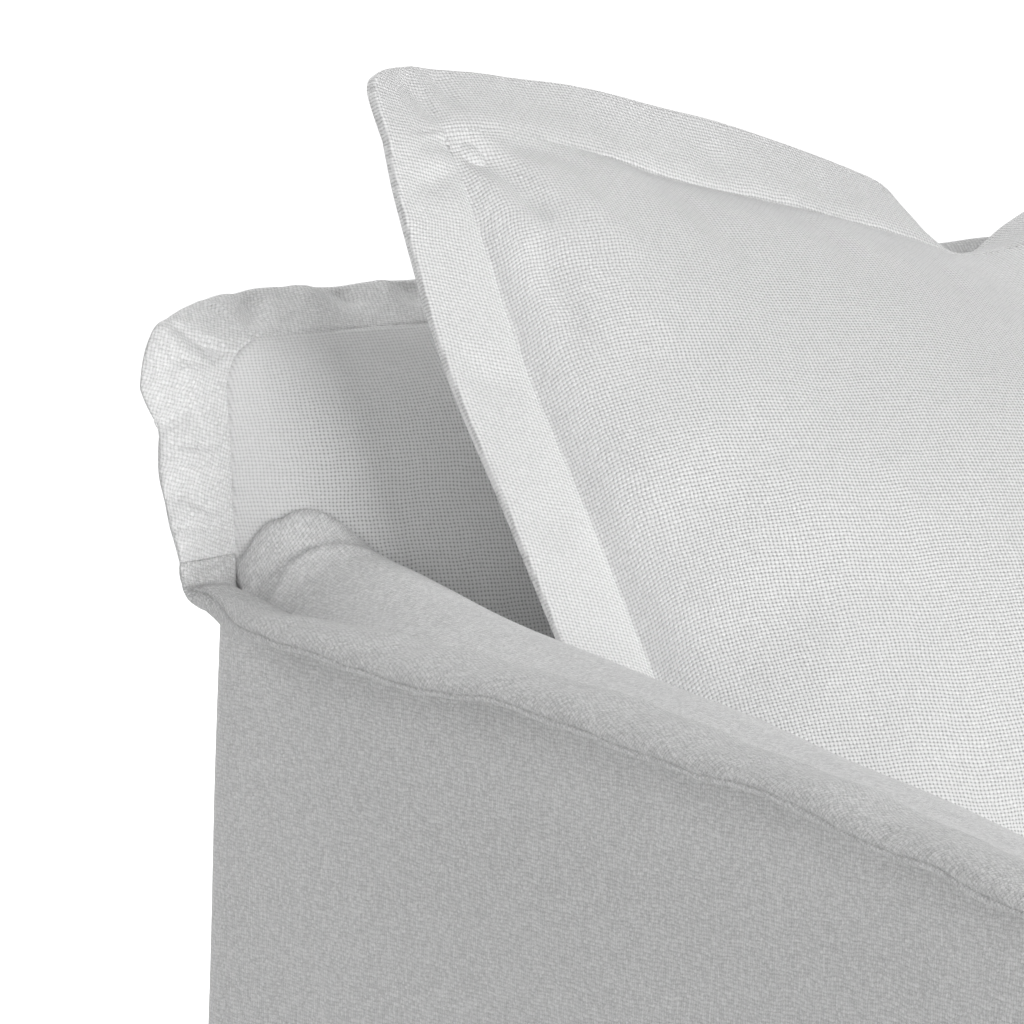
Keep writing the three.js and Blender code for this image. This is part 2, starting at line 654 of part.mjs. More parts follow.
// Back cushion: seams at a = -1 and 1 and at b = 0 and 1, with the flange beyond them
function backCushion() {
  const DENT_DEPTH = 0.4; // share of the filling pressed out of the dent
  const DENT_MIDDLE = -0.025;
  const DENT_WIDTH = 0.2;
  const CORNER = 3; // exponent of the flange's rounded corners
  const DRAWN_DOWN = 1.5; // exponent with which the dent dies out below the upper seam
  const FLANGE_HALF_THICK = 2.6;
  const flangeCuts = [1.5, 2];
  const bodyCuts = [0, 0.05, 0.09, 0.16, 0.3, 0.45, 0.6, 0.74, 0.86, 0.95, 1];
  const across = mirrored([...bodyCuts, ...flangeCuts]);
  const body = [0, 0.04, 0.1, 0.19, 0.28, 0.34, 0.375, 0.41, 0.45, 0.56, 0.68, 0.79, 0.88, 0.94, 0.975, 1];
  const up = [-1, -0.5, ...body, 1.5, 2];
  const seamPoint = (a, b) => {
    const side = (column) => read(CUSHION_SIDE, 'rise', column, b);
    const x = a * side('half');
    const topAt = (column) => read(CUSHION_TOP, 'x', column, x);
    const cornerAt = (column) => read(CUSHION_TOP, 'x', column, -side('half'));
    // away from the sides the cushion follows its own upper seam, all the way down
    const y = side('y') + (topAt('y') - cornerAt('y')) * b ** DRAWN_DOWN;
    const z = side('z') + (topAt('z') - cornerAt('z')) * b ** DRAWN_DOWN;
    return new THREE.Vector3(x, y, z);
  };
  const point = (u, v) => {
    const a = clamp(u, -1, 1);
    const b = clamp(v, 0, 1);
    const base = seamPoint(a, b);
    const beyondSide = Math.abs(u) - Math.abs(a);
    const beyondTop = Math.max(v - 1, 0);
    const beyondFoot = Math.max(-v, 0);
    const s = Math.sign(u);
    const way = (column) => read(CUSHION_FLANGE, 'z', column, base.z);
    const sideways = new THREE.Vector3(s * way('out'), -way('ahead'), way('up')).normalize();
    const lean = radians(read(CUSHION_TOP, 'x', 'lean', base.x));
    const upwards = new THREE.Vector3(0, Math.sin(lean), Math.cos(lean));
    const ahead = new THREE.Vector3(0, -1, -0.02);
    const width = beyondTop > 0 ? read(CUSHION_TOP, 'x', 'width', base.x) : CUSHION_FLANGE_WIDTH;
    // the flange's corners are rounded a little
    const beyondEnd = Math.max(beyondTop, beyondFoot);
    const far = Math.max(beyondSide, beyondEnd);
    const round = far > 0 ? far / (beyondSide ** CORNER + beyondEnd ** CORNER) ** (1 / CORNER) : 1;
    base.addScaledVector(sideways, CUSHION_FLANGE_WIDTH * round * beyondSide);
    base.addScaledVector(upwards, width * round * beyondTop);
    base.addScaledVector(ahead, width * round * beyondFoot);
    return base;
  };
  const SIDE_FALL = 3.2; // exponents of the filling from the middle to the side seams
  const SIDE_ROUND = 0.62;
  const FOOT_ROUND = 0.55; // and to the lower and the upper seam
  const HEAD_ROUND = 0.8;
  const FULL_FOOT = 1.1; // fullness at the lower and at the upper seam
  const FULL_HEAD = 0.82;
  const DENT_FADE = 4; // exponent with which the hand's press dies out below the upper seam
  const filled = (u, v, depth) => {
    const a = Math.min(Math.abs(u), 1);
    const b = clamp(v, 0, 1);
    const wide = (1 - a ** SIDE_FALL) ** SIDE_ROUND;
    const fullness = mix(FULL_FOOT, FULL_HEAD, b);
    const high = (4 * b * (1 - b)) ** (b < 0.5 ? FOOT_ROUND : HEAD_ROUND) * fullness;
    const dent = DENT_DEPTH * Math.exp(-(((u - DENT_MIDDLE) / DENT_WIDTH) ** 2)) * b ** DENT_FADE;
    return depth * wide * high * (1 - dent);
  };
  const front = (u, v) => FLANGE_HALF_THICK + filled(u, v, CUSHION_FRONT);
  const rear = (u, v) => FLANGE_HALF_THICK + filled(u, v, CUSHION_REAR);
  const trim = (corner) => {
    corner.z = Math.max(corner.z, CUSHION_REST);
    const behind = backFace(corner.x, corner.z) - CLEAR_OF_BACK;
    if (corner.z < BACK_TOP + CLOTH) corner.y = Math.min(corner.y, behind);
    return corner;
  };
  return clothSolid('back_cushion', across, up, point, front, rear, trim);
}

// Seat cushion: a plain box of filling with a soft crown and rounded edges
function seatCushion() {
  const CLEAR_OF_ARMS = 3;
  const SHORT_OF_BACK = 46; // room behind it for the foot of the back cushion
  const OVERHANG = 14; // how far it stands out in front of the arms
  const CROWN = 11;
  const EDGE_HALF = 3; // half thickness at its very edge
  const EDGE_FALL = 30; // exponents of the rounding at its edges
  const EDGE_ROUND = 0.4;
  const half = INNER - CLEAR_OF_ARMS;
  const rear = backFace(0, SEAT_HEIGHT) - SHORT_OF_BACK;
  const front = FRONT - OVERHANG;
  const bottom = DECK + CLOTH;
  const middle = (bottom + SEAT_HEIGHT) / 2;
  const depth = SEAT_HEIGHT - middle;
  const edges = [0, 0.3, 0.55, 0.75, 0.88, 0.94, 0.975, 0.993, 1];
  const point = (u, v) => new THREE.Vector3(half * u, mix(front, rear, (v + 1) / 2), middle);
  const round = (u, v) => ((1 - Math.abs(u) ** EDGE_FALL) * (1 - Math.abs(v) ** EDGE_FALL)) ** EDGE_ROUND;
  const crown = (u, v) => CROWN * (1 - u * u) * (1 - v * v);
  const top = (u, v) => EDGE_HALF + (depth - EDGE_HALF) * round(u, v) + crown(u, v);
  const base = (u, v) => EDGE_HALF + (depth - EDGE_HALF - SEAM_GAP) * round(u, v);
  return clothSolid('seat_cushion', mirrored(edges), mirrored(edges), point, top, base);
}

// The whole cover, standing on the middle of its hem
const cover = new THREE.Group();
cover.add(outsideBack(), insideBack(), frontApron(), seatDeck());
for (const side of ['left', 'right']) {
  cover.add(outsideArm(side), insideArm(side), armFront(side), flangeArm(side));
}
cover.add(flangeBack(), backCushion(), seatCushion());

const box = new THREE.Box3().setFromObject(cover);
const centre = box.getCenter(new THREE.Vector3());
cover.position.set(-centre.x, -centre.y, -box.min.z);
cover.updateMatrixWorld(true);

export default cover;
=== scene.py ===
"""Looks of a fitted armchair slipcover and its two cushions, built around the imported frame.

Sizes are in millimetres in the chair's own coordinates: x = 0 is the middle of the chair, its front is
towards -y and the hem is at z = 0. Left and right are those of a viewer in front of it. Finished points
are turned to metres and moved to the frame where a mesh is made.
"""

import math

import bpy
import numpy as np
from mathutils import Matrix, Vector


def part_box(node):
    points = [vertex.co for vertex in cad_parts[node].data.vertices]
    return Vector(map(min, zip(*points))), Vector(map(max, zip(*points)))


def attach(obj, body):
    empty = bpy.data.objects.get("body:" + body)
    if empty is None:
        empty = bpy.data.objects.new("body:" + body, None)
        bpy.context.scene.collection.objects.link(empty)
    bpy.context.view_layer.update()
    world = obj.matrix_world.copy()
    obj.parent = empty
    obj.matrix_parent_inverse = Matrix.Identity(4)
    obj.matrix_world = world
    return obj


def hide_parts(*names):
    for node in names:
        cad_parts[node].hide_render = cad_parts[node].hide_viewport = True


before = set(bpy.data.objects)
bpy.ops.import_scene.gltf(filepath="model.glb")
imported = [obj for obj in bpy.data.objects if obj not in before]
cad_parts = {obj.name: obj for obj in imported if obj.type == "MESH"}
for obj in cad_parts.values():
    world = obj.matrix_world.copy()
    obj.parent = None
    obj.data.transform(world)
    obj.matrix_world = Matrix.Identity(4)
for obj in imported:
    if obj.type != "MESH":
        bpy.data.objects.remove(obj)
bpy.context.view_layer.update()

# Sizes of the cover

SIDE = 410  # from the middle of the chair to a side seam
REAR = 478  # rear corner seams
FRONT = -420  # front seams of the arms
BACK_TOP = 759.5  # seam along the top of the back
ARM_WIDTH = 110
DECK = 298  # panel that the seat cushion lies on
SEAT_HEIGHT = 440
CLOTH = 2  # thickness of one panel
SEAM_GAP = 0.6
HEM_GAP = 3
HEM_HEIGHT = 22  # where the hem is stitched
FLANGE_ROOT = SIDE + 0.4
FLANGE_BEND = 8  # radius with which the flange turns from the back onto the arm
TOP_CORNER = 20
FRONT_BEND = 14
FLANGE_JOIN = 658  # height at which the flange of the back meets that of the arm
BACK_LEAN = 0.08
INNER = SIDE - ARM_WIDTH
PANEL_EDGE = SIDE - SEAM_GAP
# How a panel's edge runs on into a seam: out under its neighbour, and down, so that no light shows
TUCK = ((0.8, 0.5), (1.6, 1.5), (2.4, 3.0))

MM = 0.001


def table(columns, rows):
    """Named columns of numbers. The first column is the one that the others are read by."""
    return dict(zip(columns.split(), np.array(rows, float).T))


# Arm from front to rear: outer seam, padding above it, how far in the crown is, and its fall
ARM_RUN = table("y seam crown reach drop", [
    (-420, 586, -2, 20, 86), (-300, 594, -3, 20, 86), (-190, 603, -3, 20, 88), (-130, 611, -3, 20, 90),
    (-54, 619, -2, 20, 90), (26, 625, -1, 21, 90), (108, 632, 1, 23, 92), (175, 634, 3, 26, 94),
    (257, 636, 7, 30, 98), (324, 636, 12, 36, 104), (374, 633, 21, 40, 110), (415, 632, 26, 42, 114),
    (443, 635, 27, 42, 114), (463, 638, 26, 42, 114),
])

# Folds where the arm's panel is gathered against the back: a roll leans on the back, by distance from it
# (how far it hangs ahead, and its height), and a low ridge lies in front, with a valley between them
ARM_ROLL = table("gap ahead rise", [
    (0, 0, 20.8), (1.5, 0.3, 23.4), (3, 1.2, 23.6), (4.2, 2.2, 21.6), (5, 2.9, 18.6), (5.8, 2.8, 15),
    (6.8, 1.8, 11.6), (8, 0.8, 8.8), (10, 0.2, 6.4), (13, 0, 4.8), (17, 0, 4.2), (21, 0, 3),
    (25, 0, 1), (30, 0, 0),
])
RIDGE_HALF = 2.7

# Across the arm, by distance in from its outer seam: share of the roll and how thick it is, then height
# of the ridge and its distance from the back
ARM_FOLDS = table("inset roll thick ridge gap", [
    (0, 0, 0.5, 0, 24), (4, 0.45, 0.6, 3, 22), (8, 0.8, 0.75, 4.4, 18), (12, 1, 0.9, 4.8, 17),
    (18, 1, 1, 4.6, 17), (26, 0.87, 1, 3.8, 17), (36, 0.52, 0.9, 2.4, 18), (46, 0.14, 0.8, 1, 18),
    (56, 0, 0.7, 0, 18), (110, 0, 0.7, 0, 18),
])

# Front of the back, by height: how far it comes forward of the side seams
BACK_FACE = table("z depth", [
    (290, 161), (450, 123), (600, 71), (680, 45), (704, 39), (726, 29), (744, 16), (755, 6), (760, 0),
])

# Inside back panel from its foot up: height at the middle, half width, and height at its sides
BACK_ROWS = table("row middle edge rim", [
    (0, 300, 302, 300), (1, 390, 302, 390), (2, 480, 302, 480), (3, 560, 303, 560), (4, 600, 309, 596),
    (5, 622, 321, 618), (6, 638, 340, 636), (7, 649, 361, 646), (8, 658, 379, 649), (9, 666, 394, 647),
    (10, 674, 404.5, 641), (11, 684, 409.2, 640), (12, 696, 409.2, 652), (13, 716, 409.2, 690),
    (14, 732, 409.4, 720), (15, 745, 409, 741), (16, 754.5, 403.2, 753.5), (17, 758.7, 396, 758.4),
])

# Flange beside the back, by height: width, and turn to the front in degrees
FLANGE_SIDE = table("z width turn", [
    (655, 43, 22), (668, 43, 18), (690, 43, 9), (715, 41, 3), (728, 44.5, 0), (740, 48.5, 0),
])

# Flange round an upper corner, by the angle at which it points out
FLANGE_CORNER = table("angle width lean", [
    (0, 48.5, 0), (14, 48, 3), (26, 46, 8), (36, 39, 26), (46, 36, 42), (58, 35, 52), (72, 36, 59),
    (90, 40, 64),
])

# Flange along the top of the back, by distance from the middle: width, and lean to the rear
FLANGE_TOP = table("x width lean", [
    (0, 44.5, 68), (330, 43.5, 66), (372, 43, 65), (390, 39, 64),
])

# Flange along the arm, from front to rear: how far its edge stands above its root
FLANGE_ARM = table("y lift", [
    (-420, 0), (-240, 3), (-185, 7), (-150, 4), (-110, 3), (-70, 6), (10, 2), (90, 0), (170, 1),
    (255, -5), (300, -2), (345, 1), (380, 4), (478, 4),
])

# Its rear end, by distance run from the flange of the back: how far ahead of its root and above it the
# edge is, and how much its lower layer hangs down like a bag
FLANGE_TURN = table("run ahead up bag", [
    (0, 17, 0, 0), (8, 18, 0, 0), (14, 20, 3, 0.3), (23, 21, 8, 0.8), (35, 21, 9, 1), (50, 20, 8, 1),
    (65, 16, 7, 0.9), (80, 11, 6, 0.6), (110, 5, 4, 0.1), (150, 0, 1, 0),
])
ARM_FLANGE_WIDTH = 45

# Section of a doubled flange from its seam, out over its face, round its edge and back under: share of
# the way to the edge, then distance past that and height: lying flat, puffed into a roll, and in a bag
EDGE_REACH = 8
FLANGE_SECTION = table("step face past flat past_roll roll past_bag bag", [
    (0, 0, 0, 0.3, 0, 0.3, 0, 0.3), (1, 0.03, 0, 1.9, 0, 2.2, 0, 1.9),
    (2, 0.08, 0, 2.5, 0, 3.6, 0, 2.6), (3, 0.18, 0, 2.9, 0, 5.0, 0, 3.2),
    (4, 0.36, 0, 3.3, 0, 6.0, 0, 3.8), (5, 0.56, 0, 3.5, 0, 6.5, 0, 4.1),
    (6, 0.76, 0, 3.4, 0, 6.3, 0, 4.0), (7, 0.9, 0, 3.3, 0, 5.7, 0, 3.7),
    (8, 1, 0, 3.1, 0, 4.9, 0, 3.4), (9, 1, 3, 2.9, 3, 3.7, 3, 2.9),
    (10, 1, 5.6, 2.2, 5.6, 1.6, 5.4, 1.9), (11, 1, 7.3, 1.2, 7.1, -0.7, 6.6, 0.7),
    (12, 1, 7.8, 0.4, 7.5, -2.6, 6.8, -0.4), (13, 1, 7.6, -0.3, 6.5, -3.5, 5.4, -1.2),
    (14, 1, 7.7, -1.0, 7.5, -4.3, 7.3, -2.4), (15, 1, 7.3, -1.9, 7.4, -5.5, 8, -4.6),
    (16, 1, 6.2, -2.6, 6.2, -6.6, 7, -7.4), (17, 1, 4, -3.0, 4, -7.1, 4, -9.8),
    (18, 1, 0, -3.1, 0, -6.9, 0, -11), (19, 0.85, 0, -3.2, 0, -6.2, 0, -11),
    (20, 0.6, 0, -3.0, 0, -4.8, 0, -9), (21, 0.3, 0, -2.4, 0, -3.0, 0, -5.5),
    (22, 0.1, 0, -1.8, 0, -1.9, 0, -3), (23, 0, 0, -0.6, 0, -0.6, 0, -0.6),
])


def mirrored(marks):
    """Marks of the left side, and the like on the right, where they fall a little higher or lower."""
    other = []
    for k, (line, *rest) in enumerate(marks):
        other.append(([(-x, z + 9 * math.sin(7 * k + 2)) for x, z in line], *rest))
    return [*marks, *other]


# Soft creases in the flange of the back, in its own plane: the mitre of its corner, a fold that the
# mitre throws, the crease where the flange of the arm begins and puckers at its edge, then swellings
BACK_FLANGE_MARKS = mirrored([
    ([(-443, 773), (-426, 760), (-409, 749)], 4.4, -4.4, 0.25),
    ([(-377, 799), (-386, 780), (-397, 763)], 5.4, -4, 0.3),
    ([(-458, 721), (-442, 725), (-428, 729)], 4, -3.6, 0.4),
    ([(-452, 658), (-443, 662), (-430, 664), (-411, 661)], 3.6, -2.6, 0.25),
    ([(-456, 675), (-412, 671)], 1.4, -1.2, 0.1),
    ([(-452, 687), (-438, 691)], 3.2, -2.6, 0.4),
    ([(-452, 745), (-438, 749)], 4, -1.6, 0.4),
    ([(-330, 798), (-326, 780)], 5, -2.4, 0.3),
    ([(-290, 798), (-292, 772)], 7, -3, 0.3),
    ([(-437, 700), (-435, 712)], 9, 2.8, 0.3),
    ([(-437, 737), (-434, 752)], 10, 3, 0.3),
    ([(-436, 676), (-433, 682)], 8, 2, 0.3),
    ([(-408, 778), (-402, 782)], 8, 3, 0.3),
    ([(-358, 790), (-340, 790)], 11, 2.4, 0.3),
    ([(-310, 790), (-302, 788)], 11, 1.6, 0.3),
])

# Where its edge is nipped in: place, reach and depth
BACK_FLANGE_NIPS = [((side * x, z), reach, depth) for side in (-1, 1) for x, z, reach, depth in (
    (454, 722, 8, 2.2), (454, 687, 9, 1), (455, 662, 8, 1), (290, 803, 14, 1.2),
)]

# The same for the flange of an arm, by distance out from its seam and distance run from the back
ARM_FLANGE_MARKS = [
    ([(50, 3), (25, 5), (2, 3)], 3, -1.2, 0.1),
    ([(52, 30), (30, 40), (12, 52)], 5, -1, 0.3),
    ([(56, 118), (34, 126), (20, 130)], 6, -1.3, 0.35),
    ([(56, 207), (36, 214), (14, 216)], 7, -1.2, 0.35),
    ([(56, 318), (30, 326)], 9, -1.8, 0.35),
    ([(56, 402), (36, 398)], 7, -1.2, 0.35),
    ([(58, 512), (34, 520), (18, 517)], 8, -1.6, 0.35),
    ([(56, 634), (30, 640)], 8, -1.5, 0.35),
    ([(56, 742), (30, 748)], 7, -1.2, 0.35),
]
ARM_FLANGE_NIPS = [((45, run), reach, depth) for run, reach, depth in (
    (122, 14, 1.2), (210, 16, 1.4), (322, 18, 2), (400, 14, 1.2), (516, 20, 2), (637, 16, 1.6),
    (745, 18, 1.4),
)]
STRIP_BIAS = math.radians(18)  # how the threads slant in a flange, which is cut a little off the grain
PINCH = 5  # how far from its end a flange starts to be drawn in

# Slow waves in the free edge of a flange, and unevenness of the hanging panels
FLANGE_WAVES = ((71, 0.45, 0.4), (113, 0.5, 2.1))  # length, height, start
PANEL_WAVES = ((310, 420, 1.6, 0.3), (170, 260, 0.9, 1.9))  # length across, up, height, start

# Back cushion along the seams at its sides, from the lower seam up
CUSHION_SIDE = table("rise z y half", [
    (0, 457, 180, 290), (0.26, 560, 248, 291), (0.4, 616, 285, 297), (0.57, 685, 323, 308),
    (0.74, 756, 368, 317), (0.87, 811, 400, 320), (1, 859.5, 430, 322),
])

# Its upper seam from corner to corner: the dent of the hand a little off the middle, the ears beside it
CUSHION_TOP = table("x z y width lean", [
    (-322, 859.5, 430, 44, 50), (-308, 860, 430, 44, 55), (-290, 859, 430, 44, 57),
    (-262, 851.5, 430, 44, 52), (-234, 843.5, 430, 44, 45), (-200, 831.5, 431, 44, 38),
    (-160, 821, 434, 44, 38), (-113, 809.5, 438, 44, 44), (-62, 795.5, 443, 44, 51),
    (-37, 788, 444.5, 44, 56), (-27, 784.5, 445, 42, 64), (-17, 780.5, 446, 34, 100),
    (-8, 779, 446, 32, 106), (14, 780.5, 446, 32, 103), (32, 786.5, 445, 37, 96),
    (56, 794.5, 443, 41, 91), (84, 803, 440, 43, 75), (112, 810.5, 438, 44, 56),
    (190, 833.5, 431, 44, 41), (260, 853.5, 430, 44, 49), (300, 861.5, 430, 44, 55),
    (322, 859.5, 430, 44, 50),
])

# How the flange at the cushion's sides points, by height: out, ahead and up
CUSHION_FLANGE = table("z out ahead up", [
    (457, 0.02, 1, 0.05), (552, 0.06, 1, 0.12), (566, 0.2, 0.93, 0.2), (580, 0.5, 0.6, 0.3),
    (594, 0.78, 0.3, 0.26), (607, 0.95, 0.08, 0.14), (621, 1, 0, 0.03), (637, 1, 0, 0),
    (770, 1, 0.02, 0), (830, 0.98, 0.16, 0), (862, 0.95, 0.32, 0),
])
CUSHION_FLANGE_WIDTH = 43

# Soft creases and hollows in its front, seen from the front: about the seam's upper corners, under the
# upper seam and beside the dent
CUSHION_MARKS = mirrored([
    ([(-338, 888), (-330, 874), (-322, 862)], 5.5, -3.6, 0.3),
    ([(-346, 858), (-330, 857), (-318, 852)], 4, -3.6, 0.25),
    ([(-354, 836), (-338, 838), (-322, 844)], 5, -3, 0.3),
    ([(-312, 886), (-306, 868)], 5, -3, 0.3),
    ([(-320, 858), (-298, 838), (-286, 808)], 7, -7, 0.25),
    ([(-304, 858), (-282, 848), (-240, 834)], 6, -3.6, 0.35),
    ([(-304, 816), (-298, 784), (-292, 742)], 7, -5, 0.35),
    ([(-274, 830), (-264, 808), (-257, 780)], 10, 4.5, 0.35),
    ([(-352, 760), (-340, 748), (-322, 742)], 6, -2.4, 0.35),
    ([(-346, 690), (-332, 684), (-318, 690)], 7, -2.2, 0.35),
    ([(-225, 868), (-222, 846)], 5, -2.4, 0.35),
    ([(-160, 846), (-164, 824)], 6, -2.6, 0.35),
    ([(-96, 828), (-92, 808)], 5, -2.4, 0.35),
    ([(-212, 834), (-200, 800), (-196, 770)], 10, -3.6, 0.35),
    ([(-140, 818), (-130, 790), (-132, 760)], 10, -3.6, 0.35),
    ([(-60, 796), (-66, 770), (-80, 740)], 10, -4, 0.35),
    ([(-24, 786), (-30, 760), (-46, 725)], 9, -5, 0.35),
    ([(-286, 700), (-250, 650), (-236, 600)], 16, -3, 0.35),
    ([(-180, 740), (-150, 690), (-150, 630)], 20, -3, 0.35),
    ([(-60, 700), (-40, 650), (-60, 600)], 20, -3, 0.35),
])
CUSHION_FRONT = 88  # how far the filling stands out of the seams, in front
CUSHION_REAR = 84  # and behind
CORNER_WIDTH, CORNER_LEAN = 36, 34  # of the flange at its outer corner
FLANGE_BIAS = 0.3  # how far the threads slant where the cloth was pulled at the sides

# The flange's outer edge, by share of the way out: two layers, each rounded, drawn in to the seam between
CUSHION_LIP = table("beyond place half", [
    (0, 0, 3.4), (0.9, 0.9, 3.4), (0.93, 0.94, 3.35), (0.95, 0.968, 3.05), (0.965, 0.988, 2.5),
    (0.975, 0.998, 1.8), (0.985, 0.99, 1.0), (0.993, 0.972, 0.4), (1, 0.945, 0),
])
CUSHION_REST = 453.5  # height of the flat part that lies on the seat


# Small helpers for shapes

def read(rows, column, at):
    """A column of a table at any place between its rows, eased without overshoot."""
    keys, values = next(iter(rows.values())), rows[column]
    step = np.diff(values) / np.diff(keys)
    before, after = step[:-1], step[1:]
    total = np.where(before + after == 0, 1, before + after)
    even = np.where(before * after > 0, 2 * before * after / total, 0)
    slope = np.concatenate([step[:1], even, step[-1:]])
    at = np.clip(at, keys[0], keys[-1])
    i = np.clip(np.searchsorted(keys, at) - 1, 0, len(keys) - 2)
    span = keys[i + 1] - keys[i]
    t = (at - keys[i]) / span
    bend = t * (1 - t) * ((1 - t) * slope[i] - t * slope[i + 1]) * span
    return mix(values[i], values[i + 1], t * t * (3 - 2 * t)) + bend


def mix(a, b, share):
    return a + (b - a) * share


def cuts(*stretches):
    """Places along a run, from stretches of (start, end, longest step), each end once."""
    parts = []
    for a, b, step in stretches:
        parts.append(np.linspace(a, b, max(2, math.ceil(abs(b - a) / step) + 1))[:-1])
    return np.concatenate([*parts, [stretches[-1][1]]])


def both_ways(places):
    """Places from 0 outwards, and the same on the other side of 0."""
    return np.concatenate([-places[:0:-1], places])


def unit(vectors):
    return vectors / np.maximum(np.linalg.norm(vectors, axis=-1, keepdims=True), 1e-9)


def panel_wave(across, up, turn):
    total = 0
    for long, high, height, start in PANEL_WAVES:
        run = 2 * np.pi * across / long + start + turn
        total = total + height * np.sin(run) * np.cos(2 * np.pi * up / high + turn)
    return total


def flange_wave(run, turn):
    total = 0
    for long, height, start in FLANGE_WAVES:
        total = total + height * np.sin(2 * np.pi * run / long + start + turn)
    return total


def ripple(u, v, size, seed):
    """Soft unevenness of about 1 mm, with swells of about this size, that doesn't plainly repeat."""
    dice = np.random.default_rng(seed)
    total = 0
    for _ in range(7):
        way = dice.uniform(0, 2 * np.pi)
        long = size * dice.uniform(0.7, 1.6)
        start = dice.uniform(0, 2 * np.pi)
        total = total + np.sin(2 * np.pi * (u * math.cos(way) + v * math.sin(way)) / long + start)
    return total / 3.2


def bend_off(into, radius):
    """How far a round bend of this radius has left the straight line, this far into it."""
    return radius - np.sqrt(radius ** 2 - np.clip(into, 0, radius * 0.97) ** 2)


# Shape of the cover

def arm_seam(y):
    """Height of the arm's outer seam: it bends down at the front, and up to the back's side seam."""
    down = bend_off(FRONT + FRONT_BEND - y, FRONT_BEND)
    up = bend_off(y - (REAR - FLANGE_BEND), FLANGE_BEND)
    return read(ARM_RUN, "seam", y) - down + up


def rear_seam(z):
    return REAR + np.maximum(z - FLANGE_JOIN, 0) * BACK_LEAN


def back_face(x, z):
    """Front face of the back, rounded into the side seams."""
    full = 1 - np.abs(np.clip(x, -SIDE, SIDE) / SIDE) ** 9
    return rear_seam(z) - CLOTH - 2 * SEAM_GAP - read(BACK_FACE, "depth", z) * full


def arm_section(share, y):
    """Inset from the outer seam and height above it, from the seam (0) to the arm's inside face."""
    rise, shoulder = 0.18, 0.64
    at = np.minimum(y, REAR - FLANGE_BEND)
    crown, reach, drop = (read(ARM_RUN, column, at) for column in ("crown", "reach", "drop"))
    k = np.clip(share / rise, 0, 1)
    angle = np.clip((share - rise) / (shoulder - rise), 0, 1) * np.pi / 2
    over = share > rise
    inset = np.where(over, mix(reach, ARM_WIDTH, np.sin(angle) ** 1.18), mix(0, reach, k))
    fall = drop * (1 - np.maximum(np.cos(angle), 0) ** 1.33)
    return inset, np.where(over, crown - fall, crown * np.sin(k * np.pi / 2))


def side_fullness(below):
    """How far the sides hang out of plumb, by distance below the seam."""
    return 7 * (1 - np.exp(-np.maximum(below, 0) / 160))


# Meshes from grids of points

def frame_shift():
    """From the chair's coordinates to the frame, read off the apron, which is straight at its ends."""
    low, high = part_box("front_apron")
    return Vector(((low.x + high.x) / 2, high.y - (FRONT + CLOTH / 2) * MM, low.z))


SHIFT = frame_shift()


def placed(points):
    """Points of the chair in millimetres, as points of the frame in metres."""
    return np.asarray(points, float).reshape(-1, 3) * MM + np.array(SHIFT)


def lengths(grid, axis, start):
    """Distance run along one way of a grid, counted from one of its lines."""
    step = np.linalg.norm(np.diff(grid, axis=axis), axis=2)
    run = np.concatenate([np.zeros_like(np.take(step, [0], axis)), np.cumsum(step, axis)], axis)
    return run - np.take(run, [start], axis)


def flat_of(grid, column=0, row=0):
    """Where each point lies on the flat cloth, counted from a column and a row that run straight."""
    return np.stack([lengths(grid, 1, column), lengths(grid, 0, row)], axis=-1)


def normals_of(grid):
    across = np.gradient(grid, axis=1)
    along = np.gradient(grid, axis=0)
    return unit(np.cross(across, along))


def quads(rows, columns, start=0, flip=False):
    index = start + np.arange(rows * columns).reshape(rows, columns)
    faces = np.stack([index[:-1, :-1], index[:-1, 1:], index[1:, 1:], index[1:, :-1]], axis=-1)
    return (faces[..., ::-1] if flip else faces).reshape(-1, 4)


def new_piece(name, points, faces, flat, material, open_weave=1.0):
    """A smooth mesh in the frame, with its place on the flat cloth, in metres, as its UV map, and how far
    its weave stands open at each point, from 0 to 1."""
    mesh = bpy.data.meshes.new(name)
    mesh.from_pydata(placed(points).tolist(), [], np.asarray(faces).tolist())
    layer = mesh.uv_layers.new(name="cloth")
    corner = np.zeros(len(mesh.loops), np.int32)
    mesh.loops.foreach_get("vertex_index", corner)
    layer.data.foreach_set("uv", (np.asarray(flat).reshape(-1, 2)[corner] * MM).ravel())
    openness = mesh.attributes.new("open_weave", "FLOAT", "POINT")
    values = np.broadcast_to(np.ravel(open_weave), len(mesh.vertices))
    openness.data.foreach_set("value", values.astype(np.float32))
    mesh.shade_smooth()
    mesh.materials.append(material)
    piece = bpy.data.objects.new(name, mesh)
    bpy.context.scene.collection.objects.link(piece)
    return piece


def thicken(piece, thickness=CLOTH, offset=0):
    solid = piece.modifiers.new("cloth thickness", "SOLIDIFY")
    solid.thickness = thickness * MM
    solid.offset = offset
    solid.use_even_offset = False
    return piece


def line_marks(flat, marks):
    """Height that marks on the flat cloth add: soft troughs where the depth is below 0, ridges above.
    A mark is (points of its line, half width, height at its middle, share of it that tapers off)."""
    total = np.zeros(flat.shape[:-1])
    for line, width, height, taper in marks:
        line = np.array(line, float)
        steps = np.linalg.norm(np.diff(line, axis=0), axis=1)
        ends = np.concatenate([[0], np.cumsum(steps)])
        nearest = np.full(flat.shape[:-1], np.inf)
        at = np.zeros(flat.shape[:-1])
        for a, b, start, step in zip(line[:-1], line[1:], ends, steps):
            t = np.clip(((flat - a) @ (b - a)) / step ** 2, 0, 1)
            away = np.linalg.norm(flat - (a + t[..., None] * (b - a)), axis=-1)
            closer = away < nearest
            nearest = np.where(closer, away, nearest)
            at = np.where(closer, (start + t * step) / ends[-1], at)
        fade = np.clip(np.minimum(at, 1 - at) / max(taper, 1e-6), 0, 1)
        total += height * np.exp(-(nearest / width) ** 2) * fade * fade * (3 - 2 * fade)
    return total


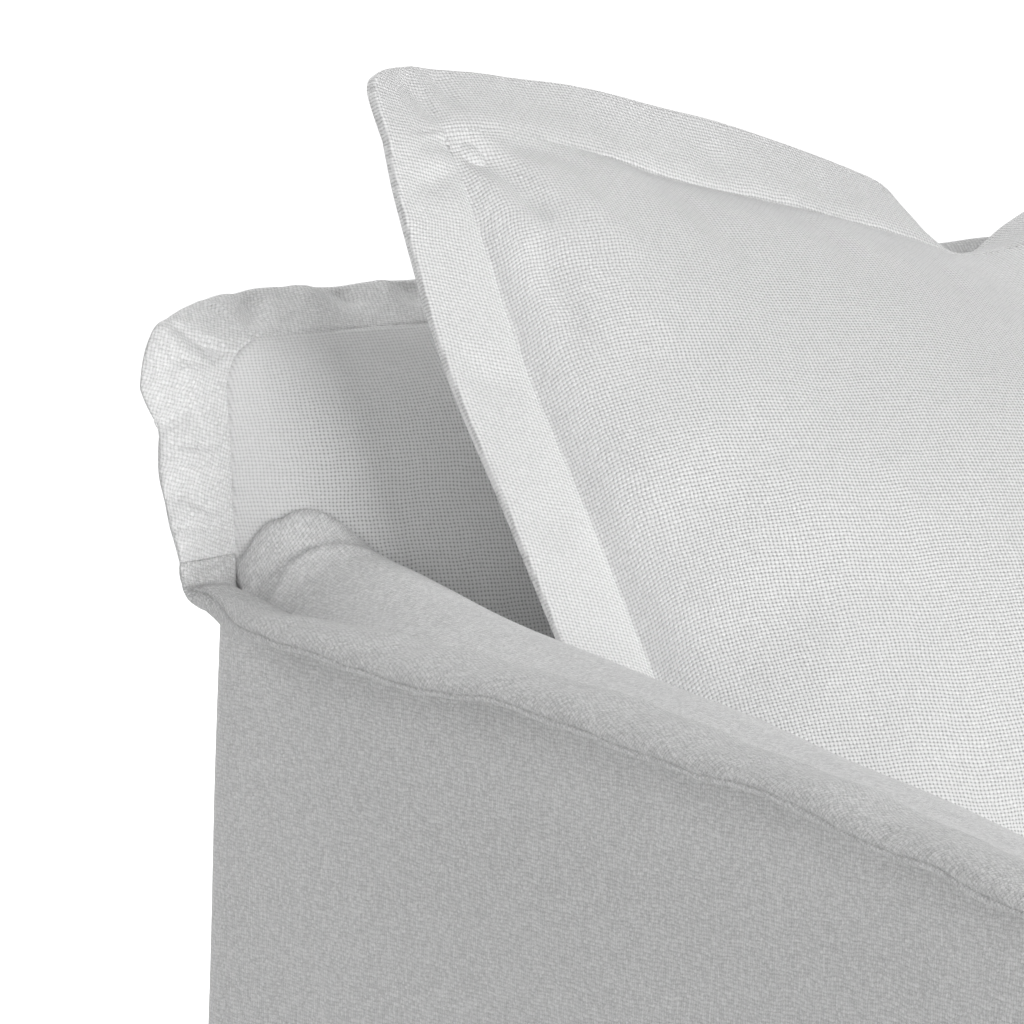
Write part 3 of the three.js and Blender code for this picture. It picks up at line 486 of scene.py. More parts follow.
def pressed(grid, flat, marks=(), swell=0):
    """The grid with marks and unevenness moved along its normals."""
    return grid + normals_of(grid) * (line_marks(flat, marks) + swell)[..., None]


def tucked(grid, edge, out, under):
    """The grid with its first or last column (0 or -1) or its last row ("top") run on into a seam."""
    line = grid[-1:] if edge == "top" else grid[:, [edge]]
    more = [line + np.array(out, float) * a + np.array(under, float) * b for a, b in TUCK]
    if edge == "top":
        return np.concatenate([grid, *more])
    return np.concatenate([*more[::-1], grid] if edge == 0 else [grid, *more], axis=1)


STITCH_LINES = []  # filled while the panels and cushions are made


def hemmed(grid, outward):
    """The panel with its turned-up hem, thicker below the line where it is stitched."""
    z = grid[..., 2]
    relief = 0.9 * np.clip((HEM_HEIGHT + 2 - z) / 2, 0, 1) - 0.7 * np.exp(-((z - HEM_HEIGHT) / 1.6) ** 2)
    normal = normals_of(grid) * outward
    grid = grid + normal * relief[..., None]
    on_top = grid + normal * (CLOTH / 2 + 0.1)
    line = [[np.interp(HEM_HEIGHT, z[:, k], on_top[:, k, axis]) for axis in range(3)]
            for k in range(grid.shape[1])]
    STITCH_LINES.append(np.array(line))
    return grid


def finish_sheet(piece, node):
    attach(piece, "root")
    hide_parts(node)


# Materials

def linear(hex_colour):
    """An sRGB hex colour as linear red, green, blue and alpha."""
    channels = [int(hex_colour[i:i + 2], 16) / 255 for i in (1, 3, 5)]
    return [c / 12.92 if c <= 0.04045 else ((c + 0.055) / 1.055) ** 2.4 for c in channels] + [1.0]


def add(tree, kind, inputs=None, **settings):
    """A node with its settings. Each input is a value, or the socket that it is joined to."""
    node = tree.nodes.new(kind)
    for name, value in settings.items():
        setattr(node, name, value)
    for key, value in (inputs or {}).items():
        if isinstance(value, bpy.types.NodeSocket):
            tree.links.new(value, node.inputs[key])
        else:
            node.inputs[key].default_value = value
    return node


THREAD = 1.88  # spacing of the threads both ways


def woven_cloth(name, light, shade, holes, knots, grain, relief, fuzz=0.5):
    """Washed cotton and linen in plain weave: round slubby threads over and under each other, with a
    pinhole where four of them meet. The eye gets a matt, dotted surface that is soft at its edges."""
    material = bpy.data.materials.new(name)
    material.use_nodes = True
    tree = material.node_tree
    tree.nodes.clear()
    place = add(tree, "ShaderNodeUVMap", uv_map="cloth").outputs["UV"]

    # threads wander a little, over some 12 mm and over some 60 mm
    near = add(tree, "ShaderNodeTexNoise", {"Vector": place, "Scale": 85.0, "Detail": 1.0})
    wide = add(tree, "ShaderNodeTexNoise", {"Vector": place, "Scale": 16.0, "Detail": 1.0})
    count = add(tree, "ShaderNodeVectorMath", {0: place, 1: [1 / (THREAD * MM)] * 3},
                operation="MULTIPLY")
    stray = 0.6 + 0.5 * grain
    bent = add(tree, "ShaderNodeVectorMath", operation="MULTIPLY_ADD",
               inputs={0: near.outputs["Color"], 1: (stray, stray, 0), 2: count.outputs[0]})
    threads = add(tree, "ShaderNodeVectorMath", operation="MULTIPLY_ADD",
                  inputs={0: wide.outputs["Color"], 1: (2.4, 2.4, 0), 2: bent.outputs[0]}).outputs[0]
    cell = add(tree, "ShaderNodeVectorMath", {0: threads}, operation="FLOOR").outputs[0]
    within = add(tree, "ShaderNodeVectorMath", {0: threads}, operation="FRACTION").outputs[0]
    local = add(tree, "ShaderNodeVectorMath", {0: within, 1: (0.5, 0.5, 0)},
                operation="SUBTRACT").outputs[0]
    number = add(tree, "ShaderNodeSeparateXYZ", {0: cell})
    both = add(tree, "ShaderNodeMath", {0: number.outputs[0], 1: number.outputs[1]}, operation="ADD")
    warp_up = add(tree, "ShaderNodeMath", {0: both.outputs[0], 1: 2.0},
                  operation="FLOORED_MODULO").outputs[0]

    # the thread on top: round across, and dipping under its neighbours at both ends
    side = add(tree, "ShaderNodeSeparateXYZ", {0: local})
    turned = add(tree, "ShaderNodeCombineXYZ", {0: side.outputs[1], 1: side.outputs[0]})
    top = add(tree, "ShaderNodeMix", {"Factor": warp_up, 4: local, 5: turned.outputs[0]},
              data_type="VECTOR")
    angle = add(tree, "ShaderNodeVectorMath", {0: top.outputs[1], 1: (math.pi, math.pi * 0.74, 0)},
                operation="MULTIPLY")
    round_off = add(tree, "ShaderNodeVectorMath", {0: angle.outputs[0]}, operation="COSINE").outputs[0]
    profile = add(tree, "ShaderNodeSeparateXYZ", {0: round_off})
    across = add(tree, "ShaderNodeMath", {0: profile.outputs[0], 1: 0.62}, operation="POWER").outputs[0]
    thread = add(tree, "ShaderNodeMath", {0: across, 1: profile.outputs[1]},
                 operation="MULTIPLY").outputs[0]

    # pinholes at the corners of the cells, more open in some places than in others
    corner = add(tree, "ShaderNodeVectorMath", {0: local}, operation="ABSOLUTE").outputs[0]
    away = add(tree, "ShaderNodeVectorMath", {0: corner, 1: (0.5, 0.5, 0)},
               operation="DISTANCE").outputs["Value"]
    loose = add(tree, "ShaderNodeTexNoise", {"Vector": place, "Scale": 260.0, "Detail": 2.0}).outputs[0]
    reach = add(tree, "ShaderNodeMapRange", {0: loose, 1: 0.3, 2: 0.7, 3: 0.26, 4: 0.42}).outputs[0]
    hole = add(tree, "ShaderNodeMapRange", {0: away, 1: 0.1, 2: reach, 3: 1.0, 4: 0.0},
               interpolation_type="SMOOTHSTEP").outputs[0]
    opened = add(tree, "ShaderNodeAttribute", attribute_name="open_weave").outputs["Fac"]
    depth = add(tree, "ShaderNodeMath", {0: opened, 1: holes}, operation="MULTIPLY").outputs[0]
    sunk = add(tree, "ShaderNodeMath", {0: hole, 1: depth}, operation="MULTIPLY").outputs[0]

    # uneven yarn: each crossing a little lighter or darker, slubs along a thread, and loose fibres
    crossing = add(tree, "ShaderNodeTexWhiteNoise", {0: cell}).outputs["Value"]
    slub = add(tree, "ShaderNodeTexNoise", {"Vector": threads, "Scale": 0.9, "Detail": 3.0}).outputs[0]
    fibre = add(tree, "ShaderNodeTexNoise", {"Vector": place, "Scale": 1500.0, "Detail": 2.0}).outputs[0]
    sum_of = {"operation": "MULTIPLY_ADD"}
    uneven = add(tree, "ShaderNodeMath", {0: crossing, 1: 0.4, 2: slub}, **sum_of).outputs[0]
    speck = add(tree, "ShaderNodeMath", {0: fibre, 1: 2.0, 2: uneven}, **sum_of).outputs[0]
    # painted shade of the weave's relief: each thread's crest and the raised crossings are painted
    # lighter and its dips darker, on top of the bump; the crossings' random tone, slubs and fibres are
    # the yarn's own unevenness
    knot = add(tree, "ShaderNodeMath", {0: thread, 1: warp_up}, operation="MULTIPLY").outputs[0]
    raised = add(tree, "ShaderNodeMath", {0: knot, 1: knots, 2: thread}, **sum_of).outputs[0]
    yarn_and_relief_tone = add(tree, "ShaderNodeMath", {0: speck, 1: grain, 2: raised}, **sum_of).outputs[0]
    brightest = 1.0 + 0.7 * knots + 2.1 * grain
    tone = add(tree, "ShaderNodeMapRange", {0: yarn_and_relief_tone, 1: 1.2 * grain, 2: brightest}).outputs[0]
    cloth = add(tree, "ShaderNodeMix", {"Factor": tone, 6: linear(shade), 7: linear(light)},
                data_type="RGBA")
    colour = add(tree, "ShaderNodeMix", {"Factor": sunk, 6: cloth.outputs[2], 7: linear("#242424")},
                 data_type="RGBA").outputs[2]

    high = add(tree, "ShaderNodeMath", {0: hole, 1: -0.8, 2: raised}, **sum_of).outputs[0]
    weave = add(tree, "ShaderNodeBump", {"Strength": relief, "Distance": 0.5 * MM, "Height": high})
    nap = add(tree, "ShaderNodeBump", {"Strength": fuzz, "Distance": 0.25 * MM, "Height": fibre,
                                       "Normal": weave.outputs[0]})
    surface = add(tree, "ShaderNodeBsdfPrincipled", {
        "Base Color": colour, "Roughness": 0.92, "IOR": 1.45, "Specular IOR Level": 0.25,
        "Sheen Weight": 0.2, "Sheen Roughness": 0.5, "Normal": nap.outputs[0],
    })
    add(tree, "ShaderNodeOutputMaterial", {"Surface": surface.outputs[0]})
    return material


# Light and dark ends of the cloth's tone, which holds the yarn's own unevenness and painted shade of the
# threads' relief, then pinholes, raised crossings, grain, relief of the threads and fuzz
# Painted shade: the inside back gets the linen in a slightly darker tone than the cushions, standing in
# for the shade that the cushion and arms throw into the recess.
BACK_CLOTH = woven_cloth("washed linen of the back, open weave",
                         "#f4f4f4", "#dcdcdc", 0.42, 0.15, 0.5, 0.4)
FLANGE_CLOTH = woven_cloth("washed linen, doubled in the flange of the back",
                           "#fcfcfc", "#c6c6c6", 0.1, 0.3, 1.7, 0.4, 0.6)
# Painted shade: the arm flanges get the flange linen in a darker tone, which stands in for the shade on
# their upturned faces.
ARM_FLANGE_SHADED_CLOTH = woven_cloth("washed linen, doubled in the flanges of the arms",
                           "#f4f4f4", "#a4a4a4", 0.08, 0.2, 2.6, 0.3, 1.0)
# Painted light: the arm panels get the same linen in a paler tone than the outer panels. The paler tone
# stands in for the stronger light that falls on the arm tops, not for wear.
ARM_CLOTH = woven_cloth("washed linen of the arms, rubbed pale",
                        "#ffffff", "#bcbcbc", 0.14, 0.25, 2.4, 0.3, 1.0)
# Painted shade: the outer panels, arm fronts, apron and deck get the linen in a darker tone than the arm
# tops. The darker tone stands in for the shade on panels turned from the light.
SIDE_CLOTH = woven_cloth("washed linen of the outer panels, brushed",
                         "#f2f2f2", "#b0b0b0", 0.04, 0.15, 2.2, 0.35)
CUSHION_CLOTH = woven_cloth("washed linen of the cushions", "#ffffff", "#e2e2e2", 0.4, 0.4, 0.5, 0.6)


# Panels of the cover

def inside_arm(side):
    """The arm's top and inside in one panel, with two gathered folds at the back."""
    s = -1 if side == "left" else 1
    foot = DECK + CLOTH

    def place(share, y):
        inset, height = arm_section(share, y)
        down = np.clip((share - 0.64) / 0.36, 0, 1)
        return s * (SIDE - inset), mix(arm_seam(y) + height, foot, down), inset

    length = REAR - FRONT
    shares = cuts((0, 0.18, 0.012), (0.18, 0.64, 0.0125), (0.64, 1, 0.018))
    rows = cuts((0, 18, 3), (18, length - 90, 7), (length - 90, length - 40, 2),
                (length - 40, length, 0.8))
    share, run = np.meshgrid(shares, rows / length)
    x, z, inset = place(share, mix(FRONT + FRONT_BEND, REAR - 2 * FLANGE_BEND, run))
    rolled, thick, ridge, ahead = (read(ARM_FOLDS, column, inset)
                                   for column in ("roll", "thick", "ridge", "gap"))
    climb = 18 * np.maximum(1 - inset / 14, 0)
    clear = mix(CLOTH + 1.2, CLOTH - 0.4, np.clip(inset / 40, 0, 1))
    end = back_face(x, z + rolled * 22 + climb) - clear
    y = mix(FRONT - 0.5, end, run)
    x, z, _ = place(share, y)
    gap = end - y
    high = z + rolled * read(ARM_ROLL, "rise", gap / thick) + climb * np.maximum(1 - gap / 9, 0) ** 1.5
    high = high + ridge * np.exp(-((gap - ahead) / RIDGE_HALF) ** 2)
    y = y - rolled * read(ARM_ROLL, "ahead", gap / thick)
    waver = np.where(share < 0.64, 0, panel_wave(y, z, s) * 0.4)
    grid = np.stack([x + s * waver, np.minimum(y, back_face(x, high) - clear), high], axis=-1)
    flat = flat_of(grid)
    grid = pressed(grid, flat, swell=0.5 * ripple(flat[..., 0], flat[..., 1], 120, 11))
    rear = np.clip(1 - gap[:, :1] / 9, 0, 1)[..., None]
    grid = tucked(grid, 0, np.concatenate([s * (1 - 0.9 * rear), 2.7 * rear, 0 * rear], axis=2),
                  np.concatenate([0 * rear, 0 * rear, rear - 1], axis=2))
    flat = flat_of(grid, len(TUCK))
    spread = np.concatenate([np.repeat(rolled[:, :1], len(TUCK), axis=1), rolled], axis=1)
    behind = np.concatenate([np.repeat(gap[:, :1], len(TUCK), axis=1), gap], axis=1)
    open_weave = mix(0.12, 1, spread * np.clip((12 - behind) / 5, 0, 1) * np.clip(behind / 3, 0, 1))
    piece = new_piece(f"arm_panel_{side}", grid, quads(*grid.shape[:2]), flat, ARM_CLOTH, open_weave)
    finish_sheet(thicken(piece), f"inside_arm_{side}")


def outside_arm(side):
    """Outer side of an arm, from the hem to the flange."""
    s = -1 if side == "left" else 1
    run, rise = np.meshgrid(cuts((0, 12, 3), (12, 880, 9), (880, 901.6, 2.5)) / 901.6,
                            cuts((0, 18, 9), (18, 28, 1.2), (28, 540, 12), (540, 640, 5)) / 640)
    y = mix(FRONT - 0.6, REAR + SEAM_GAP, run)
    top = arm_seam(np.minimum(y, REAR - 1)) - 0.6
    z = top * rise
    slack = (1 - np.exp((z - top) / 120)) * np.sin(np.pi * run) ** 0.5
    x = SIDE + side_fullness(top - z) + slack * panel_wave(y, z, 2 * s)
    grid = np.stack([s * x, y, z], axis=-1)
    flat = flat_of(grid)
    soft = np.clip((top - z) / 40, 0, 1) * 0.5
    grid = pressed(grid, flat, swell=soft * ripple(flat[..., 0], flat[..., 1], 150, 21 + s))
    grid = hemmed(grid, s)
    piece = new_piece(f"side_panel_{side}", grid, quads(*grid.shape[:2]), flat, SIDE_CLOTH)
    finish_sheet(thicken(piece), f"outside_arm_{side}")


def outside_back():
    """Outer back, rounded over the rear corners and under the top seam."""
    across = both_ways(cuts((0, 0.9, 0.022), (0.9, 0.98, 0.01), (0.98, 1, 0.0016)))
    u, v = np.meshgrid(across, cuts((0, 0.024, 0.012), (0.024, 0.037, 0.0016), (0.037, 0.9, 0.016),
                                    (0.9, 1, 0.0045)))
    top = BACK_TOP - 0.8
    z = top * v
    corner_cut = TOP_CORNER * np.clip((v - 0.98) / 0.02, 0, 1)
    half = PANEL_EDGE - CLOTH / 2 + side_fullness(arm_seam(REAR) - z) - corner_cut
    x = half * u
    full = np.sqrt((1 - np.abs(u) ** 40) * (1 - v ** 20))
    sag = 14 * np.clip((0.85 - v) / 0.3, 0, 1)
    y = rear_seam(z) + CLOTH + 2 * SEAM_GAP + full * (29 + sag + panel_wave(x, z, 3))
    grid = np.stack([x, y, z], axis=-1)
    grid = pressed(grid, flat_of(grid), swell=0.7 * full * ripple(x, z, 170, 31))
    grid = hemmed(grid, -1)
    for edge, s in ((0, -1), (-1, 1)):
        grid = tucked(grid, edge, (0, -2, 0), (-0.35 * s, 0, 0))
    flat = flat_of(grid, grid.shape[1] // 2)
    piece = new_piece("outer_back_panel", grid, quads(*grid.shape[:2], flip=True), flat, SIDE_CLOTH)
    finish_sheet(thicken(piece), "outside_back")


def inside_back():
    """Inner back: narrow between the arms, then out over them to the side seams."""
    across = both_ways(cuts((0, 0.84, 0.014), (0.84, 1, 0.0055)))
    u, row = np.meshgrid(across, cuts((0, 3, 0.08), (3, 17, 0.16)))
    x = u * read(BACK_ROWS, "edge", row)
    z = mix(read(BACK_ROWS, "middle", row), read(BACK_ROWS, "rim", row), np.abs(u) ** 6)
    grid = np.stack([x, back_face(x, z), z], axis=-1)
    quiet = np.clip((SIDE - np.abs(x)) / 40, 0, 1) * np.clip((BACK_TOP - z) / 40, 0, 1)
    grid = pressed(grid, grid[..., [0, 2]], swell=0.7 * quiet * ripple(x, z, 110, 41))
    for edge, out in ((0, (-1, 0, 0)), (-1, (1, 0, 0)), ("top", (0, 0, 1))):
        line = grid[-1:] if edge == "top" else grid[:, [edge]]
        behind = rear_seam(line[..., 2:]) - CLOTH - 2 * SEAM_GAP - line[..., 1:2]
        grid = tucked(grid, edge, out, np.array([0, 1, 0]) * (1 + np.maximum(behind, 0) / TUCK[-1][1]))
    x, z = grid[..., 0], grid[..., 2]
    curve = 0.007 * read(BACK_FACE, "depth", z) ** 2 * np.minimum(np.abs(x) / SIDE, 1) ** 21
    heights = np.linspace(290, 770, 241)
    steps = np.hypot(2, np.diff(rear_seam(heights) - read(BACK_FACE, "depth", heights)))
    up = np.interp(z, heights, np.concatenate([[0], np.cumsum(steps)]))
    flat = np.stack([x + np.sign(x) * curve, up], axis=-1)
    inset = np.clip(np.minimum(SIDE - np.abs(grid[..., 0]), BACK_TOP - grid[..., 2]) / 45, 0, 1)
    open_weave = mix(0.35, 1, inset * inset * (3 - 2 * inset))
    piece = new_piece("inner_back_panel", grid, quads(*grid.shape[:2]), flat, BACK_CLOTH, open_weave)
    finish_sheet(thicken(piece), "inside_back")


def arm_front(side):
    """Front end of an arm, closed with one flat panel."""
    s = -1 if side == "left" else 1
    share, rise = np.meshgrid(cuts((0.004, 0.18, 0.012), (0.18, 0.64, 0.02)),
                              cuts((0, 0.03, 0.015), (0.03, 0.048, 0.002), (0.048, 1, 0.02)))
    inset, height = arm_section(share, FRONT + 0 * share)
    top = arm_seam(FRONT) + height + CLOTH / 2
    bow = 7 * np.sin(np.pi * inset / ARM_WIDTH) * np.sin(np.pi * np.clip(rise, 0.1, 1)) ** 0.5
    x = s * np.clip(SIDE - inset, INNER + SEAM_GAP, PANEL_EDGE)
    grid = np.stack([x, FRONT - CLOTH - bow, top * rise], axis=-1)
    flat = flat_of(grid)
    grid = hemmed(grid, -s)
    piece = new_piece(f"arm_end_{side}", grid, quads(*grid.shape[:2]), flat, SIDE_CLOTH)
    finish_sheet(thicken(piece), f"arm_front_{side}")


def front_apron():
    """Panel below the seat, flush with the fronts of the arms."""
    u, v = np.meshgrid(np.linspace(-1, 1, 61),
                       cuts((0, 0.06, 0.03), (0.06, 0.09, 0.004), (0.09, 1, 0.035)))
    x, z = (INNER - SEAM_GAP) * u, (DECK - HEM_GAP) * v
    slack = (1 - u * u) * (1 - v)
    grid = np.stack([x, FRONT - slack * (3 + panel_wave(x, z, 5)), z], axis=-1)
    flat = flat_of(grid, 30)
    grid = hemmed(grid, 1)
    piece = new_piece("apron", grid, quads(*grid.shape[:2]), flat, SIDE_CLOTH)
    finish_sheet(thicken(piece), "front_apron")


def seat_deck():
    u, v = np.meshgrid(np.linspace(-1, 1, 31), np.linspace(0, 1, 36))
    x = (INNER - CLOTH - SEAM_GAP) * u
    y = mix(FRONT + CLOTH, back_face(x, DECK) - CLOTH - SEAM_GAP, v)
    grid = np.stack([x, y, DECK - 3 * (1 - u * u) * np.sin(np.pi * v)], axis=-1)
    flat = flat_of(grid, 15)
    piece = new_piece("deck_panel", grid, quads(*grid.shape[:2]), flat, SIDE_CLOTH)
    finish_sheet(thicken(piece), "seat_deck")


# Flanges

def flange_outline(width, roll, bag):
    """How far out and how high each point of the section is, all along the flange."""
    step = cuts((0, 2, 0.5), (2, 7, 0.25), (7, 16, 0.4), (16, 23, 1))
    section = {column: read(FLANGE_SECTION, column, step) for column in FLANGE_SECTION}
    roll, bag = roll[:, None], bag[:, None]
    past = mix(mix(section["past"], section["past_roll"], roll), section["past_bag"], bag)
    high = mix(mix(section["flat"], section["roll"], roll), section["bag"], bag)
    return section["face"] * (width - EDGE_REACH)[:, None] + past, high


def flange_strip(name, node, cloth, root, out, face, width, flat_root, flat_out, roll, bag, ends, marks,
                 dimples, turn, flat_size):
    """A doubled strip along its root line, with the way it points, the way its face looks, the same root
    and way on the flat cloth, how much it is puffed into a roll or hangs in a bag, and how far each place
    is from where it is drawn in."""
    run = np.concatenate([[0], np.cumsum(np.linalg.norm(np.diff(root, axis=0), axis=1))])
    rim = flat_root + flat_out * width[:, None]
    nip = 0 * run
    for at, reach, depth in dimples:
        nip = nip + depth * np.exp(-(np.linalg.norm(rim - at, axis=1) / reach) ** 2)
    away, high = flange_outline(width - nip, roll, bag)
    share = away / width[:, None]
    up = unit(face - (face * out).sum(1, keepdims=True) * out)
    drawn = mix(0.5, 1, np.clip(ends / PINCH, 0, 1) ** 0.7) * (1 - 0.05 * nip)
    loose = np.clip(ends / (5 * PINCH), 0, 1)
    full = 1 + 0.13 * loose * ripple(run, 0 * run, 55, 17 + turn)
    where = flat_root[:, None] + flat_out[:, None] * away[..., None]
    soft = 0.3 * loose[:, None] * ripple(where[..., 0], where[..., 1], 30, 7 + turn)
    layer = np.clip(high / 1.5, -1, 1)  # 1 on the face, -1 on the lower layer
    pinch = line_marks(where, marks) * (0.55 * np.clip(share * 5, 0, 1) + 0.45 * layer)
    pinch = pinch + soft * np.clip(share * 3, 0, 1) * layer
    waves = (loose * flange_wave(run, turn))[:, None] * share ** 2
    lift = high * (drawn * full)[:, None] + pinch + waves
    grid = root[:, None] + out[:, None] * away[..., None] + up[:, None] * lift[..., None]
    arc = np.cumsum(np.linalg.norm(np.diff(grid, axis=1, prepend=grid[:, :1]), axis=2), axis=1)
    slant, straight = math.sin(STRIP_BIAS), math.cos(STRIP_BIAS)
    flat = flat_root[:, None] + flat_out[:, None] * arc[..., None]
    flat = flat @ np.array([[straight, slant], [-slant, straight]])
    piece = new_piece(name, grid, quads(*grid.shape[:2]), flat, cloth)
    thicken(piece, 1.2, -1)
    finish_sheet(piece, node)


def flange_arm(side):
    s = -1 if side == "left" else 1
    shift = 0 if side == "left" else 46
    bend_y, front_y = REAR - FLANGE_BEND, FRONT + FRONT_BEND
    bend_z = float(arm_seam(bend_y)) + FLANGE_BEND
    front_z = float(arm_seam(front_y)) - FRONT_BEND
    turn = np.radians(np.linspace(0, 90, 12))
    top = cuts((bend_y, bend_y - 60, 1.5), (bend_y - 60, front_y, 3))[1:-1]
    line = np.concatenate([
        [(REAR, z) for z in cuts((FLANGE_JOIN + 0.3, bend_z, 1.2))[:-1]],
        np.stack([bend_y + FLANGE_BEND * np.cos(turn), bend_z - FLANGE_BEND * np.sin(turn)], axis=1),
        np.stack([top, arm_seam(top)], axis=1),
        np.stack([front_y - FRONT_BEND * np.sin(turn), front_z + FRONT_BEND * np.cos(turn)], axis=1),
        [(FRONT, z) for z in cuts((front_z, HEM_GAP, 6))[1:]],
    ])
    y, z = line.T
    way = unit(np.gradient(line, axis=0))
    face = np.stack([0 * y, way[:, 1], -way[:, 0]], axis=1)
    run = np.concatenate([[0], np.cumsum(np.linalg.norm(np.diff(line, axis=0), axis=1))])
    lift = read(FLANGE_ARM, "lift", np.where(y < 300, y + shift, y))
    near = run < FLANGE_TURN["run"][-1]
    ahead = np.where(near, read(FLANGE_TURN, "ahead", run), 0) / ARM_FLANGE_WIDTH
    above = np.where(near, read(FLANGE_TURN, "up", run), lift) / ARM_FLANGE_WIDTH
    out = np.stack([s * np.sqrt(1 - ahead ** 2 - above ** 2), -ahead, above], axis=1)
    root = np.stack([np.full_like(y, s * FLANGE_ROOT), y, z], axis=1)
    flat_root = np.stack([0 * run, run], axis=1)
    flat_out = np.broadcast_to([1.0, 0.0], flat_root.shape)
    roll = np.clip((run - 16) / 60, 0, 1)
    width = mix(43.0, ARM_FLANGE_WIDTH, roll)
    bag = read(FLANGE_TURN, "bag", run)
    parts = [root, out, face, width, flat_root, flat_out, roll, bag, run]
    if side == "right":
        parts = [part[::-1] for part in parts]
    # the darker linen of the arm flanges is painted shade
    flange_strip(f"arm_flange_{side}", f"flange_arm_{side}", ARM_FLANGE_SHADED_CLOTH, *parts, ARM_FLANGE_MARKS,
                 ARM_FLANGE_NIPS, s, (105, 1480))


def flange_back():
    half, low = FLANGE_ROOT - TOP_CORNER, BACK_TOP - TOP_CORNER
    heights = cuts((FLANGE_JOIN - 0.3, low, 1.2))
    angles = np.linspace(0, 90, 61)[1:]
    tops = cuts((-half, 0, 2.5))[1:]

    def beside():
        turn = np.radians(read(FLANGE_SIDE, "turn", heights))
        root = np.stack([np.full_like(heights, -FLANGE_ROOT), rear_seam(heights), heights], axis=1)
        out = np.stack([-np.cos(turn), -np.sin(turn), 0 * turn], axis=1)
        face = np.broadcast_to([0.0, -1.0, 0.0], out.shape)
        flat_out = np.array([[-1.0, 0.0]] * len(heights))
        return root, out, face, read(FLANGE_SIDE, "width", heights), flat_out

    def over(x, z, angle, width, lean):
        turn, tilt = np.radians(angle), np.radians(lean)
        rise = np.sin(turn)
        out = unit(np.stack([-np.cos(turn), rise * np.sin(tilt), rise * np.cos(tilt)], axis=1))
        face = np.stack([0 * tilt, -np.cos(tilt), np.sin(tilt)], axis=1)
        root = np.stack([x, rear_seam(z) - 2.5 * rise, z], axis=1)
        return root, out, face, width, np.stack([-np.cos(turn), rise], axis=1)

    turn = np.radians(angles)
    corner = over(-half - TOP_CORNER * np.cos(turn), low + TOP_CORNER * np.sin(turn), angles,
                  *(read(FLANGE_CORNER, column, angles) for column in ("width", "lean")))
    top = over(tops, np.full_like(tops, BACK_TOP), np.full_like(tops, 90.0),
               *(read(FLANGE_TOP, column, -tops) for column in ("width", "lean")))
    left = [np.concatenate(parts) for parts in zip(beside(), corner, top)]
    mirror = {3: np.array([-1, 1, 1]), 2: np.array([-1, 1])}
    right = [part[-2::-1] * (mirror[part.shape[1]] if part.ndim > 1 else 1) for part in left]
    root, out, face, width, flat_out = (np.concatenate(pair)[::-1] for pair in zip(left, right))
    even = 0 * width
    flange_strip("back_flange", "flange_back", FLANGE_CLOTH, root, out, face, width, root[:, [0, 2]],
                 flat_out, even, even, root[:, 2] - FLANGE_JOIN, BACK_FLANGE_MARKS, BACK_FLANGE_NIPS, 0,
                 (105, 1010))


# Cushions

def seam_point(a, b):
    """Point on the surface between the cushion's seams, at a from -1 to 1 and b from 0 to 1."""
    half = read(CUSHION_SIDE, "half", b)
    x = a * half
    sag = {column: read(CUSHION_TOP, column, x) - read(CUSHION_TOP, column, -half)
           for column in ("y", "z")}
    y = read(CUSHION_SIDE, "y", b) + sag["y"] * b ** 1.5
    return np.stack([x, y, read(CUSHION_SIDE, "z", b) + sag["z"] * b ** 1.5], axis=-1)


def cushion_middle(u, v):
    """Middle surface of the cushion and of the flange beyond its seams."""
    a, b = np.clip(u, -1, 1), np.clip(v, 0, 1)
    base = seam_point(a, b)
    side, above, below = np.abs(u) - np.abs(a), np.maximum(v - 1, 0), np.maximum(-v, 0)
    way = {column: read(CUSHION_FLANGE, column, base[..., 2]) for column in ("out", "ahead", "up")}
    sideways = unit(np.stack([np.sign(u) * way["out"], -way["ahead"], way["up"]], axis=-1))
    lean = np.radians(mix(read(CUSHION_TOP, "lean", base[..., 0]), CORNER_LEAN, side))
    upwards = np.stack([0 * lean, np.sin(lean), np.cos(lean)], axis=-1)
    width = np.where(above > 0, mix(read(CUSHION_TOP, "width", base[..., 0]), CORNER_WIDTH, side),
                     CUSHION_FLANGE_WIDTH)
    end = np.maximum(above, below)
    far = np.maximum(side, end)
    around = (side ** 7 + end ** 7) ** (1 / 7)
    rounding = np.where(far > 0, far / np.where(around > 0, around, 1), 1)
    base = base + sideways * (CUSHION_FLANGE_WIDTH * rounding * side)[..., None]
    base = base + upwards * (width * rounding * above)[..., None]
    base = base + np.array([0, -1, -0.02]) * (width * rounding * below)[..., None]
    beyond = np.stack([np.sign(u) * CUSHION_FLANGE_WIDTH * side, width * (above - below)], axis=-1)
    return base, beyond * rounding[..., None]


def cushion_filling(u, v, depth):
    """How far the filling stands out: full in the middle, drawn in at the seams, pressed at the dent."""
    a, b = np.minimum(np.abs(u), 1), np.clip(v, 0, 1)
    wide = (1 - a ** 3.2) ** 0.62
    high = (4 * b * (1 - b)) ** np.where(b < 0.5, 0.55, 0.8) * mix(1.1, 0.82, b)
    dent = 0.4 * np.exp(-(((u + 0.025) / 0.2) ** 2)) * b ** 4
    return depth * wide * high * (1 - dent)


def joined_skins(rows, columns):
    """Faces of two grids of points joined along their borders, and which points of a grid those are."""
    count = rows * columns
    border = np.zeros((rows, columns), bool)
    border[[0, -1], :] = border[:, [0, -1]] = True
    number = np.arange(2 * count).reshape(2, rows, columns)
    number[1][border] = number[0][border]
    faces = np.concatenate([quads(rows, columns), quads(rows, columns, count, flip=True)])
    return number.ravel()[faces], border


def in_use(faces):
    """The points that faces use, and the faces by their places among those."""
    used, numbers = np.unique(faces, return_inverse=True)
    return used, numbers.reshape(faces.shape)


def finish_padded(piece, node):
    smooth = piece.modifiers.new("smooth", "SUBSURF")
    smooth.levels = smooth.render_levels = 1
    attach(piece, "root")
    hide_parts(node)


PRESSURE = 4
SWELL_FRAMES = 20
MOST_SWELL = 24  # no point of the cushion moves further than this
BEFORE_SWELLING = 0.94  # share of its fullness that the cushion has before it is swollen


